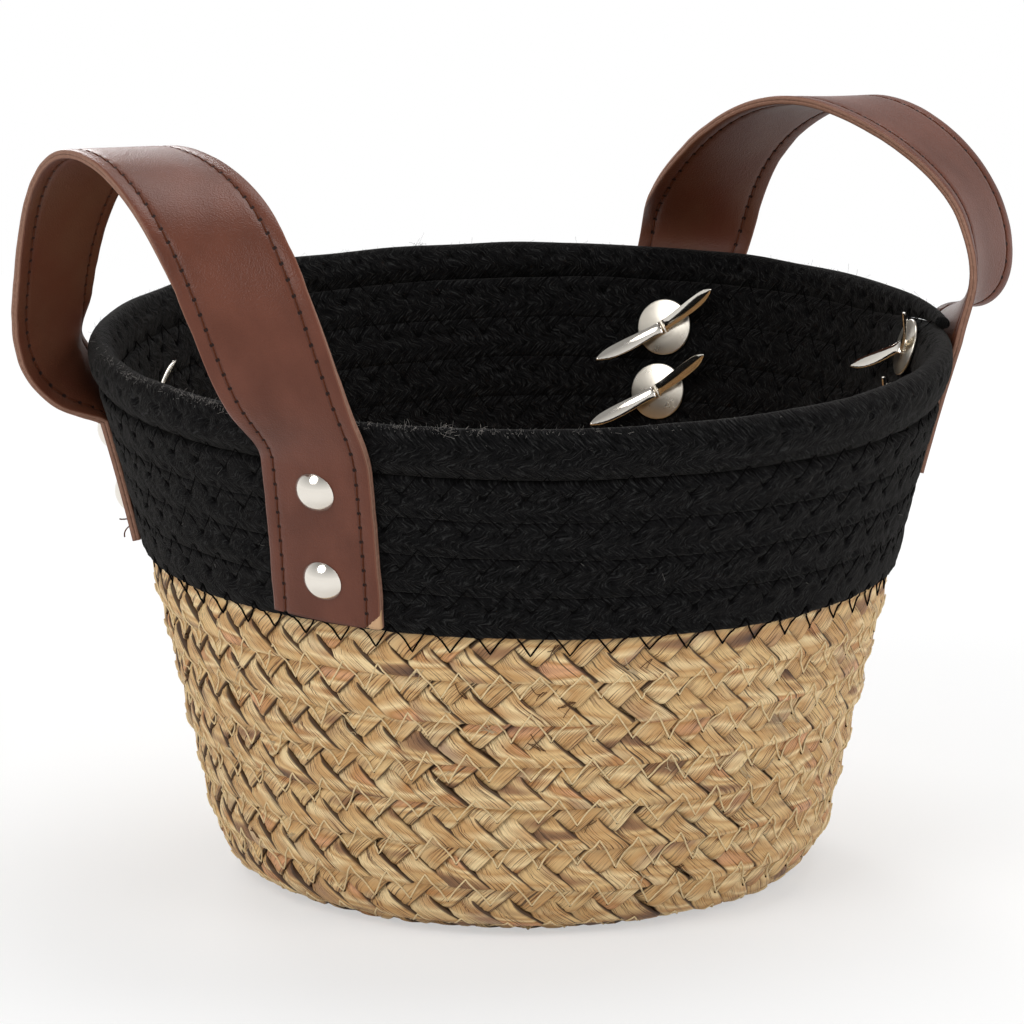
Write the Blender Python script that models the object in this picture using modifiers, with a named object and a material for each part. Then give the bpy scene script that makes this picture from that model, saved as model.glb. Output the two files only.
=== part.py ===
"""Knitting basket: a coiled basket of sewn straw plait and black cotton braid, with two strap handles.

The straw plait is one long strip that winds out from the middle of the base and up the wall. The
cotton braid carries the same spiral on to the rim. Each handle is a strap of two leather layers. Its
ends lie on the outside of the wall, held by two brads each: a domed head outside, a folded pair of
prongs through the strap and the wall, and a washer inside, on which the prongs are splayed.
"""

import math

import bmesh
import bpy
from mathutils import Matrix, Vector, geometry

# Clearances
FIT_GAP = 0.0003
OVERRUN = 0.002

# Profile of the wall, along the middle of the strip, from the axis outwards and up
BASE_RADIUS = 0.061
CORNER_RADIUS = 0.017
WALL_LEAN = math.radians(13.0)
FLARE_RADIUS = 0.60

# Straw plait
STRAW_THICKNESS = 0.0050
STRAW_PITCH = 0.0117
STRAW_START = 0.0059
STRAW_TURNS = 12.90625
FLOOR_CUT = 0.0005

# Black cotton braid
BRAID_THICKNESS = 0.0075
BRAID_PITCH = 0.0106
BRAID_TURNS = 5.0
RIM_ROW_HEIGHT = 0.0155
BRAID_END_HEIGHT = 0.0030
BLEND_TURNS = 0.08

# Both strips: the gap between rows, the corners of a turn, the share of a turn from the strips' ends to
# the front of the basket, and the cross-section, as shares of width and thickness. The facets between
# the corners are skewed a little, so that the middle of one lies under each leg of the handles.
ROW_GAP = 0.0006
CORNERS_PER_TURN = 32
COARSE_STEP = 2
COARSE_RADIUS = 0.041
STRIP_END_ANGLE = math.radians(-28.125)
FRONT_TURN = 0.265
FACET_SKEW = math.radians(2.7)
FACET_OFFSET = math.radians(-2.9)
SECTION_SHARES = ((-0.5, -0.26), (-0.29, -0.5), (0.29, -0.5), (0.5, -0.26),
                  (0.5, 0.26), (0.29, 0.5), (-0.29, 0.5), (-0.5, 0.26))
TAPERED_THICKNESS_SHARE = 0.5

# Handle straps, of an outer layer and a lining
STRAP_WIDTH = 0.030
LEATHER_THICKNESS = 0.0011
LINING_THICKNESS = 0.0010
EDGE_BEVEL = 0.0004
LEFT_RISE = 0.0579
RIGHT_RISE = 0.0493
HINGE_ABOVE_RIM = 0.0015
HINGE_OUTSIDE_RIM = 0.0045
FLEX_ABOVE_HINGE = 0.0060
FLEX_BELOW_ROOT = 0.0010

# Brads
HEAD_DIAMETER = 0.0105
HEAD_HEIGHT = 0.0029
HEAD_WALL = 0.0006
PRONG_WIDTH = 0.0036
PRONG_THICKNESS = 0.0007
PRONG_SPACING = 0.0003
PRONG_REACH = 0.0185
PRONG_BEND_RADIUS = 0.0012
PRONG_RISE = math.radians(20.0)
PRONG_ROLL = math.radians(-35.0)
FOLD_ABOVE_STRAP = 0.0002
WASHER_DIAMETER = 0.0150
WASHER_THICKNESS = 0.0008

# Counts of steps along each form
TAB_STEPS = 5
FLEX_STEPS = 12
LOOP_STEPS = 36
PATH_STEPS = 48
SPLINE_SWEEPS = 40
HEAD_SIDES = 18
DOME_STEPS = 4
WASHER_SIDES = 24

# The facet under each leg, and where its foot, brads and root lie, as shares of the braid's height
LEG_FACETS = {("left", "front"): 19, ("left", "back"): 13, ("right", "back"): 3, ("right", "front"): -2}
TAB_SHARES = {
    ("left", "front"): {"foot": 0.054, "lower": 0.257, "upper": 0.705, "root": 0.821},
    ("left", "back"): {"foot": 0.054, "lower": 0.230, "upper": 0.534, "root": 0.632},
    ("right", "back"): {"foot": 0.146, "lower": 0.350, "upper": 0.655, "root": 0.775},
    ("right", "front"): {"foot": 0.334, "lower": 0.537, "upper": 0.843, "root": 0.945},
}

# How far each leg is fastened askew, its foot towards the middle of the handle
LEANS = {("left", "front"): math.radians(3.7), ("left", "back"): 0.0,
         ("right", "back"): 0.0, ("right", "front"): 0.0}

# How each leg bows and rounds over to the top, as shares of the handle's rise over the rim. The bow is
# given up the wall, off the wall and along it, from the root. The shoulder is given outwards, along
# and up, from the point of the rim over the leg. Along is away from the middle of the handle.
BOW_SHARES = {
    ("left", "front"): (0.333, 0.071, -0.052), ("left", "back"): (0.234, 0.066, -0.104),
    ("right", "back"): (0.347, 0.030, -0.024), ("right", "front"): (0.247, 0.062, -0.008),
}
SHOULDER_SHARES = {
    ("left", "front"): (0.354, -0.132, 0.757), ("left", "back"): (0.331, -0.320, 0.378),
    ("right", "back"): (0.061, -0.149, 0.360), ("right", "front"): (0.338, -0.037, 0.408),
}
# The top of each handle, outwards from the middle of its legs and along towards its first leg, and how
# far the strap is rolled over there; and the part of a leg's turn that is left at its bow and shoulder
CREST_SHARES = {"left": (0.405, -0.056), "right": (0.147, -0.102)}
CREST_ROLLS = {"left": 0.05, "right": -0.11}
TURN_SHARES = {
    ("left", "front"): (0.74, 0.51), ("left", "back"): (0.74, 0.47),
    ("right", "back"): (0.94, 0.53), ("right", "front"): (0.61, 0.46),
}
WIDTH_SHARES_ALONG_PRONG = ((0.12, 0.80), (0.4, 0.95), (0.7, 1.0), (0.9, 0.45), (1.0, 0.10))

LEGS = {"left": ("front", "back"), "right": ("back", "front")}
RISES = {"left": LEFT_RISE, "right": RIGHT_RISE}

# Colours, as linear values, with roughness and metallic
STRAW = ((0.52, 0.34, 0.15, 1.0), 0.75, 0.0)
COTTON = ((0.012, 0.012, 0.013, 1.0), 0.95, 0.0)
LEATHER = ((0.115, 0.033, 0.016, 1.0), 0.42, 0.0)
LINING = ((0.085, 0.030, 0.015, 1.0), 0.55, 0.0)
NICKEL = ((0.66, 0.63, 0.58, 1.0), 0.12, 1.0)


def clear_scene():
    """Remove every object of the open scene."""
    for item in list(bpy.data.objects):
        bpy.data.objects.remove(item, do_unlink=True)


def make_collection(name):
    """Add a collection to the scene and return it."""
    group = bpy.data.collections.new(name)
    bpy.context.scene.collection.children.link(group)
    return group


def make_material(name, finish):
    """Return a Principled material with a colour, a roughness and a metallic value."""
    colour, roughness, metallic = finish
    material = bpy.data.materials.new(name)
    material.use_nodes = True
    shader = material.node_tree.nodes["Principled BSDF"]
    shader.inputs["Base Color"].default_value = colour
    shader.inputs["Roughness"].default_value = roughness
    shader.inputs["Metallic"].default_value = metallic
    material.diffuse_color = colour
    return material


def add_object(name, mesh, group, finish=None, parent=None):
    """Link a mesh to a collection as one object, under a parent if it has one."""
    item = bpy.data.objects.new(name, mesh)
    group.objects.link(item)
    if finish is not None:
        mesh.materials.append(make_material(name, finish))
    if parent is not None:
        mesh.transform(Matrix.Translation(-parent.location))
        item.parent = parent
    return item


def as_cutter(item):
    """Mark an object as a cutter, which isn't part of the basket."""
    item.hide_render = True
    item.display_type = "WIRE"
    return item


def cut(item, cutter):
    """Cut one object with another."""
    modifier = item.modifiers.new(cutter.name, "BOOLEAN")
    modifier.operation = "DIFFERENCE"
    modifier.object = cutter


def smoothstep(value):
    """Ease a value from 0 to 1."""
    value = min(max(value, 0.0), 1.0)
    return value * value * (3.0 - 2.0 * value)


def loft(name, rings, halved=False):
    """Return a closed mesh through rings of as many points each, capped at both ends. A twisted sheet
    is halved: its faces are split into triangles that lie alike on its two sides."""
    build = bmesh.new()
    rows = [[build.verts.new(point) for point in ring] for ring in rings]
    sides = len(rows[0])
    for low, high in zip(rows, rows[1:]):
        for side in range(sides):
            after = (side + 1) % sides
            start, end = (side, after) if side < sides / 2 else (after, side)
            if halved:
                build.faces.new((low[start], low[end], high[end]))
                build.faces.new((low[start], high[end], high[start]))
            else:
                build.faces.new((low[side], low[after], high[after], high[side]))
    build.faces.new(rows[0])
    build.faces.new(rows[-1])
    bmesh.ops.recalc_face_normals(build, faces=build.faces)
    mesh = bpy.data.meshes.new(name)
    build.to_mesh(mesh)
    build.free()
    mesh.shade_smooth()
    mesh.set_sharp_from_angle(angle=math.radians(50.0))
    return mesh


# The wall: its profile and the point of its middle surface at any place


def braid_start():
    """Length along the profile at which the straw ends and the cotton begins."""
    return STRAW_START + STRAW_PITCH * STRAW_TURNS


def wall_profile(length):
    """Return the radius, height and slope of the wall's middle, at a length along it from the axis."""
    height = STRAW_THICKNESS / 2 - FLOOR_CUT
    slope = math.pi / 2 - WALL_LEAN
    corner = CORNER_RADIUS * slope
    if length <= BASE_RADIUS:
        return length, height, 0.0
    if length <= BASE_RADIUS + corner:
        angle = (length - BASE_RADIUS) / CORNER_RADIUS
        radius = BASE_RADIUS + CORNER_RADIUS * math.sin(angle)
        return radius, height + CORNER_RADIUS * (1 - math.cos(angle)), angle
    radius = BASE_RADIUS + CORNER_RADIUS * math.sin(slope)
    height += CORNER_RADIUS * (1 - math.cos(slope))
    straight = min(length, braid_start()) - BASE_RADIUS - corner
    radius += straight * math.cos(slope)
    height += straight * math.sin(slope)
    flared = max(length - braid_start(), 0.0)
    angle = slope - flared / FLARE_RADIUS
    radius += FLARE_RADIUS * (math.sin(slope) - math.sin(angle))
    height += FLARE_RADIUS * (math.cos(angle) - math.cos(slope))
    return radius, height, angle


def wall_frame(length, azimuth, on_corner=False):
    """Return a point of the wall's middle, its outward normal and its upward tangent."""
    radius, height, slope = wall_profile(length)
    if not on_corner:
        radius *= math.cos(math.pi / CORNERS_PER_TURN)
    outward = Vector((math.cos(azimuth), math.sin(azimuth), 0.0))
    point = outward * radius + Vector((0.0, 0.0, height))
    normal = outward * math.sin(slope) - Vector((0.0, 0.0, math.cos(slope)))
    tangent = outward * math.cos(slope) + Vector((0.0, 0.0, math.sin(slope)))
    return point, normal, tangent


def facet_azimuth(angle):
    """Return the direction from the axis for an angle around the evenly divided basket."""
    return angle + FACET_SKEW * math.cos(angle) + FACET_OFFSET


def rim_height():
    """Height of the rim's top at the front."""
    return wall_profile(braid_edges(BRAID_TURNS - 1 + FRONT_TURN)[1])[1]


def rim_outer_radius():
    """Greatest radius of the rim's outside."""
    low, high, _ = braid_edges(BRAID_TURNS - 1 + FRONT_TURN)
    radius, _, slope = wall_profile((low + high) / 2)
    return radius + BRAID_THICKNESS / 2 * math.sin(slope)


# The two strips


def straw_edges(turn):
    """Return the lower and upper edge of the straw strip along the profile, and its thickness."""
    middle = STRAW_START + STRAW_PITCH * turn
    half = (STRAW_PITCH - ROW_GAP) / 2
    return middle - half, middle + half, STRAW_THICKNESS


def braid_low(turn):
    """Return the lower edge of the braid along the profile: the upper edge of the turn before it."""
    if turn <= 1:
        return braid_start() - (STRAW_PITCH - ROW_GAP) / 2 + STRAW_PITCH * turn
    return braid_low(turn - 1) + braid_height(turn - 1)


def braid_height(turn):
    """Return the height of the braid's row with its gap. The last row evens out the spiral's rise."""
    if turn < 1:
        return STRAW_PITCH + (BRAID_PITCH - STRAW_PITCH) * turn
    rim_turn = BRAID_TURNS - 1
    if turn <= rim_turn:
        swell = smoothstep((turn - rim_turn) / BLEND_TURNS + 1)
        return BRAID_PITCH + (RIM_ROW_HEIGHT - BRAID_PITCH) * swell
    top = braid_low(rim_turn) + RIM_ROW_HEIGHT + BRAID_END_HEIGHT * (turn - rim_turn)
    return top - braid_low(turn)


def braid_edges(turn):
    """Return the lower and upper edge of the braid along the profile, and its thickness."""
    low = braid_low(turn)
    taper = smoothstep((turn - BRAID_TURNS) / BLEND_TURNS + 1)
    thickness = BRAID_THICKNESS * (1 - (1 - TAPERED_THICKNESS_SHARE) * taper)
    return low, low + braid_height(turn) - ROW_GAP, thickness


def strip_ring(edges, turn, azimuth):
    """Return the points of a strip's cross-section at one place."""
    low, high, thickness = edges(turn)
    ring = []
    for across, out in SECTION_SHARES:
        place = (low + high) / 2 + across * (high - low)
        point, normal, _ = wall_frame(place, azimuth, on_corner=True)
        ring.append(point + normal * out * thickness)
    return ring


def strip_turns(turns, edges):
    """Return the places along a strip, counted in turns, at which it has a corner."""
    count = round(turns * CORNERS_PER_TURN)
    places = []
    for corner in range(count + 1):
        turn = turns - (count - corner) / CORNERS_PER_TURN
        coarse = edges(turn)[1] < COARSE_RADIUS
        if not coarse or corner % COARSE_STEP == 0:
            places.append(turn)
    return places


def least_gap(rings_by_turn):
    """Return the least gap between neighbouring rows, from the top points of each row to the next."""
    least = math.inf
    tops = [(turn, ring[3:5]) for turn, ring in rings_by_turn]
    bottoms = [(turn, (ring[0], ring[7])) for turn, ring in rings_by_turn]
    near = 2.5 / CORNERS_PER_TURN
    for turn, points in tops:
        for (first, one), (second, other) in zip(bottoms, bottoms[1:]):
            if abs(first - turn - 1) > near or abs(second - turn - 1) > near:
                continue
            for point in points:
                for start, end in zip(one, other):
                    foot, share = geometry.intersect_point_line(point, start, end)
                    if 0.0 <= share <= 1.0:
                        least = min(least, (point - foot).length)
    return least


def make_straw_plait(group, cutters):
    """Wind the straw strip from the middle of the base to the foot of the cotton braid."""
    rings = []
    for turn in strip_turns(STRAW_TURNS, straw_edges):
        azimuth = facet_azimuth(STRIP_END_ANGLE + 2 * math.pi * (STRAW_TURNS - turn))
        rings.append((turn, strip_ring(straw_edges, turn, azimuth)))
    print(f"straw_plait: least gap between rows {least_gap(rings) * 1000:.2f} mm")
    plait = add_object("straw_plait", loft("straw_plait", [ring for _, ring in rings]), group, STRAW)
    build = bmesh.new()
    size = 4 * BASE_RADIUS
    below = Matrix.Translation((0.0, 0.0, -STRAW_THICKNESS / 2)) @ Matrix.Diagonal(
        (size, size, STRAW_THICKNESS, 1.0))
    bmesh.ops.create_cube(build, size=1.0, matrix=below)
    mesh = bpy.data.meshes.new("floor_cutter")
    build.to_mesh(mesh)
    build.free()
    cut(plait, as_cutter(add_object("floor_cutter", mesh, cutters)))
    return plait


def make_cotton_braid(group):
    """Wind the cotton braid on from the end of the straw to the rim."""
    rings = []
    radius = wall_profile(braid_start())[0]
    butt_gap = 2 * ROW_GAP / radius
    for turn in strip_turns(BRAID_TURNS, braid_edges):
        azimuth = facet_azimuth(STRIP_END_ANGLE - 2 * math.pi * turn)
        if turn == 0:
            azimuth -= butt_gap
        rings.append((turn, strip_ring(braid_edges, turn, azimuth)))
    print(f"cotton_braid: least gap between rows {least_gap(rings) * 1000:.2f} mm")
    return add_object("cotton_braid", loft("cotton_braid", [ring for _, ring in rings]), group, COTTON)


# The handle straps


class StrapPath:
    """The middle line of one handle's strap, with its width direction, from foot to foot."""

    def __init__(self, side):
        self.side = side
        self.legs = LEGS[side]
        self.rise = RISES[side]
        directions = [self.leg_azimuth(leg) for leg in self.legs]
        if directions[0] < directions[1]:
            directions[1] -= 2 * math.pi
        self.azimuth = sum(directions) / 2
        self.half_angle = (directions[0] - directions[1]) / 2
        self.out = Vector((math.cos(self.azimuth), math.sin(self.azimuth), 0.0))
        self.along = Vector((-math.sin(self.azimuth), math.cos(self.azimuth), 0.0))
        self.points, self.widths = self.trace()
        self.lengths = [0.0]
        for start, end in zip(self.points, self.points[1:]):
            self.lengths.append(self.lengths[-1] + (end - start).length)

    def hinge(self):
        """Return the point of the hinge axis in the middle of the handle."""
        out = rim_outer_radius() * math.cos(self.half_angle) + HINGE_OUTSIDE_RIM
        return self.out * out + Vector((0.0, 0.0, rim_height() + HINGE_ABOVE_RIM))

    def leg_azimuth(self, leg):
        """Return the direction from the axis of the basket to a leg."""
        return facet_azimuth(LEG_FACETS[(self.side, leg)] * 2 * math.pi / CORNERS_PER_TURN)

    def sign(self, leg):
        """Return which way a leg lies from the middle of the handle: 1 for the first leg, -1 for the last."""
        return 1.0 if leg == self.legs[0] else -1.0

    def place(self, leg, name):
        """Return where the foot, a brad or the root of a leg lies along the wall's profile."""
        low = braid_edges(FRONT_TURN)[0]
        high = braid_edges(BRAID_TURNS - 1 + FRONT_TURN)[1]
        return low + (high - low) * TAB_SHARES[(self.side, leg)][name]

    def tab_length(self, leg):
        """Return the length of a leg's tab, from its foot to its root."""
        return self.place(leg, "root") - self.place(leg, "foot")

    def on_wall(self, leg, place):
        """Return a point of the strap's middle on the wall, and the wall's normal and tangent there."""
        point, normal, tangent = wall_frame(place, self.leg_azimuth(leg))
        lift = BRAID_THICKNESS / 2 + FIT_GAP + LINING_THICKNESS + FIT_GAP / 2
        lean = LEANS[(self.side, leg)] * self.sign(leg)
        aside = tangent.cross(normal)
        point += normal * lift - aside * (self.place(leg, "root") - place) * math.tan(lean)
        return point, normal, tangent * math.cos(lean) + aside * math.sin(lean)

    def controls(self, leg):
        """Return a leg's root, bow and shoulder, and the direction in which it leaves the wall."""
        root, normal, tangent = self.on_wall(leg, self.place(leg, "root"))
        sign = self.sign(leg)
        aside = tangent.cross(normal) * sign
        up_wall, off_wall, along_wall = BOW_SHARES[(self.side, leg)]
        bow = root + (tangent * up_wall + normal * off_wall + aside * along_wall) * self.rise
        rim = rim_outer_radius()
        shoulder = self.out * rim * math.cos(self.half_angle)
        shoulder += self.along * sign * rim * math.sin(self.half_angle) + Vector((0.0, 0.0, rim_height()))
        out, along, up = SHOULDER_SHARES[(self.side, leg)]
        shoulder += (self.out * out + self.along * sign * along + Vector((0.0, 0.0, up))) * self.rise
        return root, bow, shoulder, tangent

    def tab_points(self, leg):
        """Return points of the middle line along a tab, from the foot to just short of the root."""
        foot = self.place(leg, "foot")
        step = self.tab_length(leg) / TAB_STEPS
        return [self.on_wall(leg, foot + step * index)[0] for index in range(TAB_STEPS)]

    def trace(self):
        """Return the points of the middle line and the width direction at each."""
        first, last = self.legs
        root_a, bow_a, shoulder_a, leave_a = self.controls(first)
        root_b, bow_b, shoulder_b, leave_b = self.controls(last)
        crest_out, crest_along = CREST_SHARES[self.side]
        crest = self.out * (rim_outer_radius() * math.cos(self.half_angle) + crest_out * self.rise)
        crest += self.along * crest_along * self.rise + Vector((0.0, 0.0, rim_height() + self.rise))
        knots = [root_a, bow_a, shoulder_a, crest, shoulder_b, bow_b, root_b]
        spans = [(end - start).length for start, end in zip(knots, knots[1:])]
        speeds = knot_speeds(knots, spans, leave_a, -leave_b)
        turns_a, turns_b = TURN_SHARES[(self.side, first)], TURN_SHARES[(self.side, last)]
        turns = [1.0, turns_a[0], turns_a[1], 0.0, -turns_b[1], -turns_b[0], -1.0]
        turn_speeds = knot_speeds(turns, spans, 0.0, 0.0)
        points, values = self.tab_points(first), [1.0] * TAB_STEPS
        for index, span in enumerate(spans):
            for step in range(PATH_STEPS):
                share = step / PATH_STEPS
                points.append(hermite(knots, speeds, index, span, share))
                values.append(hermite(turns, turn_speeds, index, span, share))
        points.append(root_b)
        values.append(-1.0)
        points += self.tab_points(last)[::-1]
        values += [-1.0] * TAB_STEPS
        return points, [self.width_direction(value) for value in values]

    def width_direction(self, turn):
        """Return the direction across the strap, before it is squared to the path, for how much of the
        turn between the top (0) and the first and last tab (1 and -1) is left."""
        angle = (math.pi / 2 - self.half_angle) * turn
        roll = math.tan(CREST_ROLLS[self.side]) * (1 - min(abs(turn), 1.0))
        level = self.along * math.sin(angle) - self.out * math.cos(angle)
        return level - Vector((0.0, 0.0, roll))

    def length(self):
        """Return the whole length of the strap."""
        return self.lengths[-1]

    def frame(self, length):
        """Return the point, the width direction and the outward direction at a length from the foot."""
        length = min(max(length, 0.0), self.lengths[-1])
        index = 0
        while index < len(self.lengths) - 2 and self.lengths[index + 1] < length:
            index += 1
        share = (length - self.lengths[index]) / (self.lengths[index + 1] - self.lengths[index])
        before = max(index - 1, 0)
        after = min(index + 2, len(self.points) - 1)
        tangent_low = self.points[index + 1] - self.points[before]
        tangent_high = self.points[after] - self.points[index]
        tangent = tangent_low.normalized().lerp(tangent_high.normalized(), share).normalized()
        point = self.points[index].lerp(self.points[index + 1], share)
        width = self.widths[index].lerp(self.widths[index + 1], share)
        width = (width - tangent * width.dot(tangent)).normalized()
        return point, width, width.cross(tangent)

    def flex_end(self, reverse):
        """Return the length from the first foot at which the strap stands clear above the hinge."""
        goal = self.hinge().z + FLEX_ABOVE_HINGE
        order = range(len(self.points))
        if reverse:
            order = reversed(order)
        for index in order:
            if self.points[index].z > goal:
                return self.lengths[index]
        return self.length() / 2


def knot_speeds(knots, spans, first, last):
    """Return how fast a smoothly bending curve through knots changes at each, per length along it."""
    speeds = [first] + [(after - before) / span for before, after, span in zip(knots, knots[1:], spans)]
    speeds[-1] = last
    for _ in range(SPLINE_SWEEPS):
        for index in range(1, len(knots) - 1):
            before, after = spans[index - 1], spans[index]
            rise = (knots[index] - knots[index - 1]) / before ** 2
            rise += (knots[index + 1] - knots[index]) / after ** 2
            known = rise * 3 - speeds[index - 1] / before - speeds[index + 1] / after
            speeds[index] = known / (2 / before + 2 / after)
    return speeds


def hermite(knots, speeds, index, span, share):
    """Return a point of the cubic curve between one knot and the next."""
    square = share * share
    cube = square * share
    return (knots[index] * (2 * cube - 3 * square + 1) + speeds[index] * span * (cube - 2 * square + share)
            + knots[index + 1] * (3 * square - 2 * cube) + speeds[index + 1] * span * (cube - square))


def layer_ring(frame, face, back):
    """Return the cross-section of one leather layer. The edges of its face are bevelled."""
    point, width, out = frame
    half = STRAP_WIDTH / 2
    bevel = math.copysign(EDGE_BEVEL, face - back)
    outline = ((-half, back), (half, back), (half, face - bevel), (half - EDGE_BEVEL, face),
               (EDGE_BEVEL - half, face), (-half, face - bevel))
    return [point + width * across + out * up for across, up in outline]


def make_layer_piece(name, path, span, steps, layer, group, parent=None):
    """Make one stretch of one layer of a strap."""
    start, end = span
    face, back, finish = layer
    frames = [path.frame(start + (end - start) * step / steps) for step in range(steps + 1)]
    mesh = loft(name, [layer_ring(frame, face, back) for frame in frames], halved=True)
    return add_object(name, mesh, group, finish, parent)


def make_handle(side, group):
    """Make both layers of one handle and return its path and its tab pieces by leg."""
    path = StrapPath(side)
    hinge = bpy.data.objects.new(f"{side}_handle_hinge", None)
    hinge.location = path.hinge()
    group.objects.link(hinge)
    layers = {"strap": (FIT_GAP / 2 + LEATHER_THICKNESS, FIT_GAP / 2, LEATHER),
              "lining": (-FIT_GAP / 2 - LINING_THICKNESS, -FIT_GAP / 2, LINING)}
    first, last = path.legs
    rise_a = path.flex_end(False)
    rise_b = path.flex_end(True)
    end = path.length()
    half = FIT_GAP / 2
    root_a = path.tab_length(first) - FLEX_BELOW_ROOT
    root_b = end - path.tab_length(last) + FLEX_BELOW_ROOT
    spans = {f"{first}_tab": (0.0, root_a - half, TAB_STEPS),
             f"{first}_flex": (root_a + half, rise_a - half, FLEX_STEPS),
             "loop": (rise_a + half, rise_b - half, LOOP_STEPS),
             f"{last}_flex": (rise_b + half, root_b - half, FLEX_STEPS),
             f"{last}_tab": (root_b + half, end, TAB_STEPS)}
    tabs = {first: [], last: []}
    for layer, sizes in layers.items():
        for place, (start, stop, steps) in spans.items():
            parent = hinge if place == "loop" else None
            name = f"{side}_{layer}_{place}"
            piece = make_layer_piece(name, path, (start, stop), steps, sizes, group, parent)
            for leg in (first, last):
                if place == f"{leg}_tab":
                    tabs[leg].append(piece)
    return path, tabs


# The brads


def brad_matrix(path, leg, row):
    """Return the place of a brad: its origin on the strap's outer face, +Z out, +X along the splay."""
    point, normal, tangent = path.on_wall(leg, path.place(leg, row))
    origin = point + normal * (FIT_GAP / 2 + LEATHER_THICKNESS)
    across = tangent.cross(normal).normalized()
    splay = across * math.cos(PRONG_ROLL) + tangent * math.sin(PRONG_ROLL)
    side = normal.cross(splay)
    turn = Matrix((splay, side, normal)).transposed().to_4x4()
    return Matrix.Translation(origin) @ turn


def washer_depth():
    """Return how far the washer's outer face lies in from the strap's outer face."""
    strap = LEATHER_THICKNESS + FIT_GAP + LINING_THICKNESS
    return strap + FIT_GAP + BRAID_THICKNESS + FIT_GAP


def make_head(name, place, group):
    """Turn the domed head of a brad: a thin cap, open on its under side."""
    radius = HEAD_DIAMETER / 2
    crown = (radius ** 2 + HEAD_HEIGHT ** 2) / (2 * HEAD_HEIGHT)
    inner_radius = radius - HEAD_WALL
    inner_height = HEAD_HEIGHT - HEAD_WALL
    hollow = (inner_radius ** 2 + inner_height ** 2) / (2 * inner_height)
    outline = []
    for step in range(DOME_STEPS + 1):
        across = radius * math.sin(math.pi / 2 * step / DOME_STEPS)
        outline.append((across, math.sqrt(crown ** 2 - across ** 2) - crown + HEAD_HEIGHT))
    for step in reversed(range(DOME_STEPS)):
        across = inner_radius * (step + 1) / DOME_STEPS if step else 0.0
        outline.append((across, math.sqrt(hollow ** 2 - across ** 2) - hollow + inner_height))
    build = bmesh.new()
    corners = [build.verts.new((across, 0.0, height)) for across, height in outline]
    for start, end in zip(corners, corners[1:]):
        build.edges.new((start, end))
    mesh = bpy.data.meshes.new(name)
    build.to_mesh(mesh)
    build.free()
    head = add_object(name, mesh, group, NICKEL)
    head.matrix_world = place @ Matrix.Translation((0.0, 0.0, FIT_GAP))
    screw = head.modifiers.new("turn", "SCREW")
    screw.axis = "Z"
    screw.angle = 2 * math.pi
    screw.steps = HEAD_SIDES
    screw.render_steps = HEAD_SIDES
    screw.use_merge_vertices = True
    screw.merge_threshold = 0.00001
    screw.use_smooth_shade = True
    return head


def prong_half():
    """Return one leg of the folded strip: (x, z, direction angle, width share), from tip to fold."""
    middle = (PRONG_SPACING + PRONG_THICKNESS) / 2
    bend_top = -washer_depth() - WASHER_THICKNESS
    turn = math.pi / 2 - PRONG_RISE
    stations = []
    foot_x = middle + PRONG_BEND_RADIUS * (1 - math.cos(turn))
    foot_z = bend_top - PRONG_BEND_RADIUS * math.sin(turn)
    for share, width in reversed(WIDTH_SHARES_ALONG_PRONG):
        reach = PRONG_REACH * share
        stations.append((foot_x + reach * math.cos(PRONG_RISE), foot_z - reach * math.sin(PRONG_RISE),
                         turn, width))
    for share in (1.0, 0.5, 0.0):
        angle = turn * share
        stations.append((middle + PRONG_BEND_RADIUS * (1 - math.cos(angle)),
                         bend_top - PRONG_BEND_RADIUS * math.sin(angle), angle, 0.8 if share else 1.0))
    stations.append((middle, FOLD_ABOVE_STRAP, 0.0, 1.0))
    stations.append((middle * math.cos(math.pi / 4), FOLD_ABOVE_STRAP + middle * math.sin(math.pi / 4),
                     math.pi / 4, 1.0))
    return stations


def make_prongs(name, place, group):
    """Make the prongs of a brad: one strip folded double in the head, with its ends splayed inside."""
    middle = (PRONG_SPACING + PRONG_THICKNESS) / 2
    leg = prong_half()
    top = [(0.0, FOLD_ABOVE_STRAP + middle, math.pi / 2, 1.0)]
    other = [(-x, z, math.pi - angle, width) for x, z, angle, width in reversed(leg)]
    rings = []
    for x, z, angle, share in leg + top + other:
        across = Vector((math.cos(angle), 0.0, math.sin(angle)))
        centre = Vector((x, 0.0, z))
        half_width = Vector((0.0, PRONG_WIDTH / 2 * share, 0.0))
        half_thick = across * (PRONG_THICKNESS / 2)
        rings.append([centre + half_thick + half_width, centre + half_thick - half_width,
                      centre - half_thick - half_width, centre - half_thick + half_width])
    prongs = add_object(name, loft(name, rings), group, NICKEL)
    prongs.matrix_world = place
    return prongs


def make_washer(name, place, group):
    """Make the round washer that lies on the inside of the wall."""
    build = bmesh.new()
    bmesh.ops.create_cone(build, cap_ends=True, segments=WASHER_SIDES, radius1=WASHER_DIAMETER / 2,
                          radius2=WASHER_DIAMETER / 2, depth=WASHER_THICKNESS)
    mesh = bpy.data.meshes.new(name)
    build.to_mesh(mesh)
    build.free()
    washer = add_object(name, mesh, group, NICKEL)
    middle = -washer_depth() - WASHER_THICKNESS / 2
    washer.matrix_world = place @ Matrix.Translation((0.0, 0.0, middle))
    return washer


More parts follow.
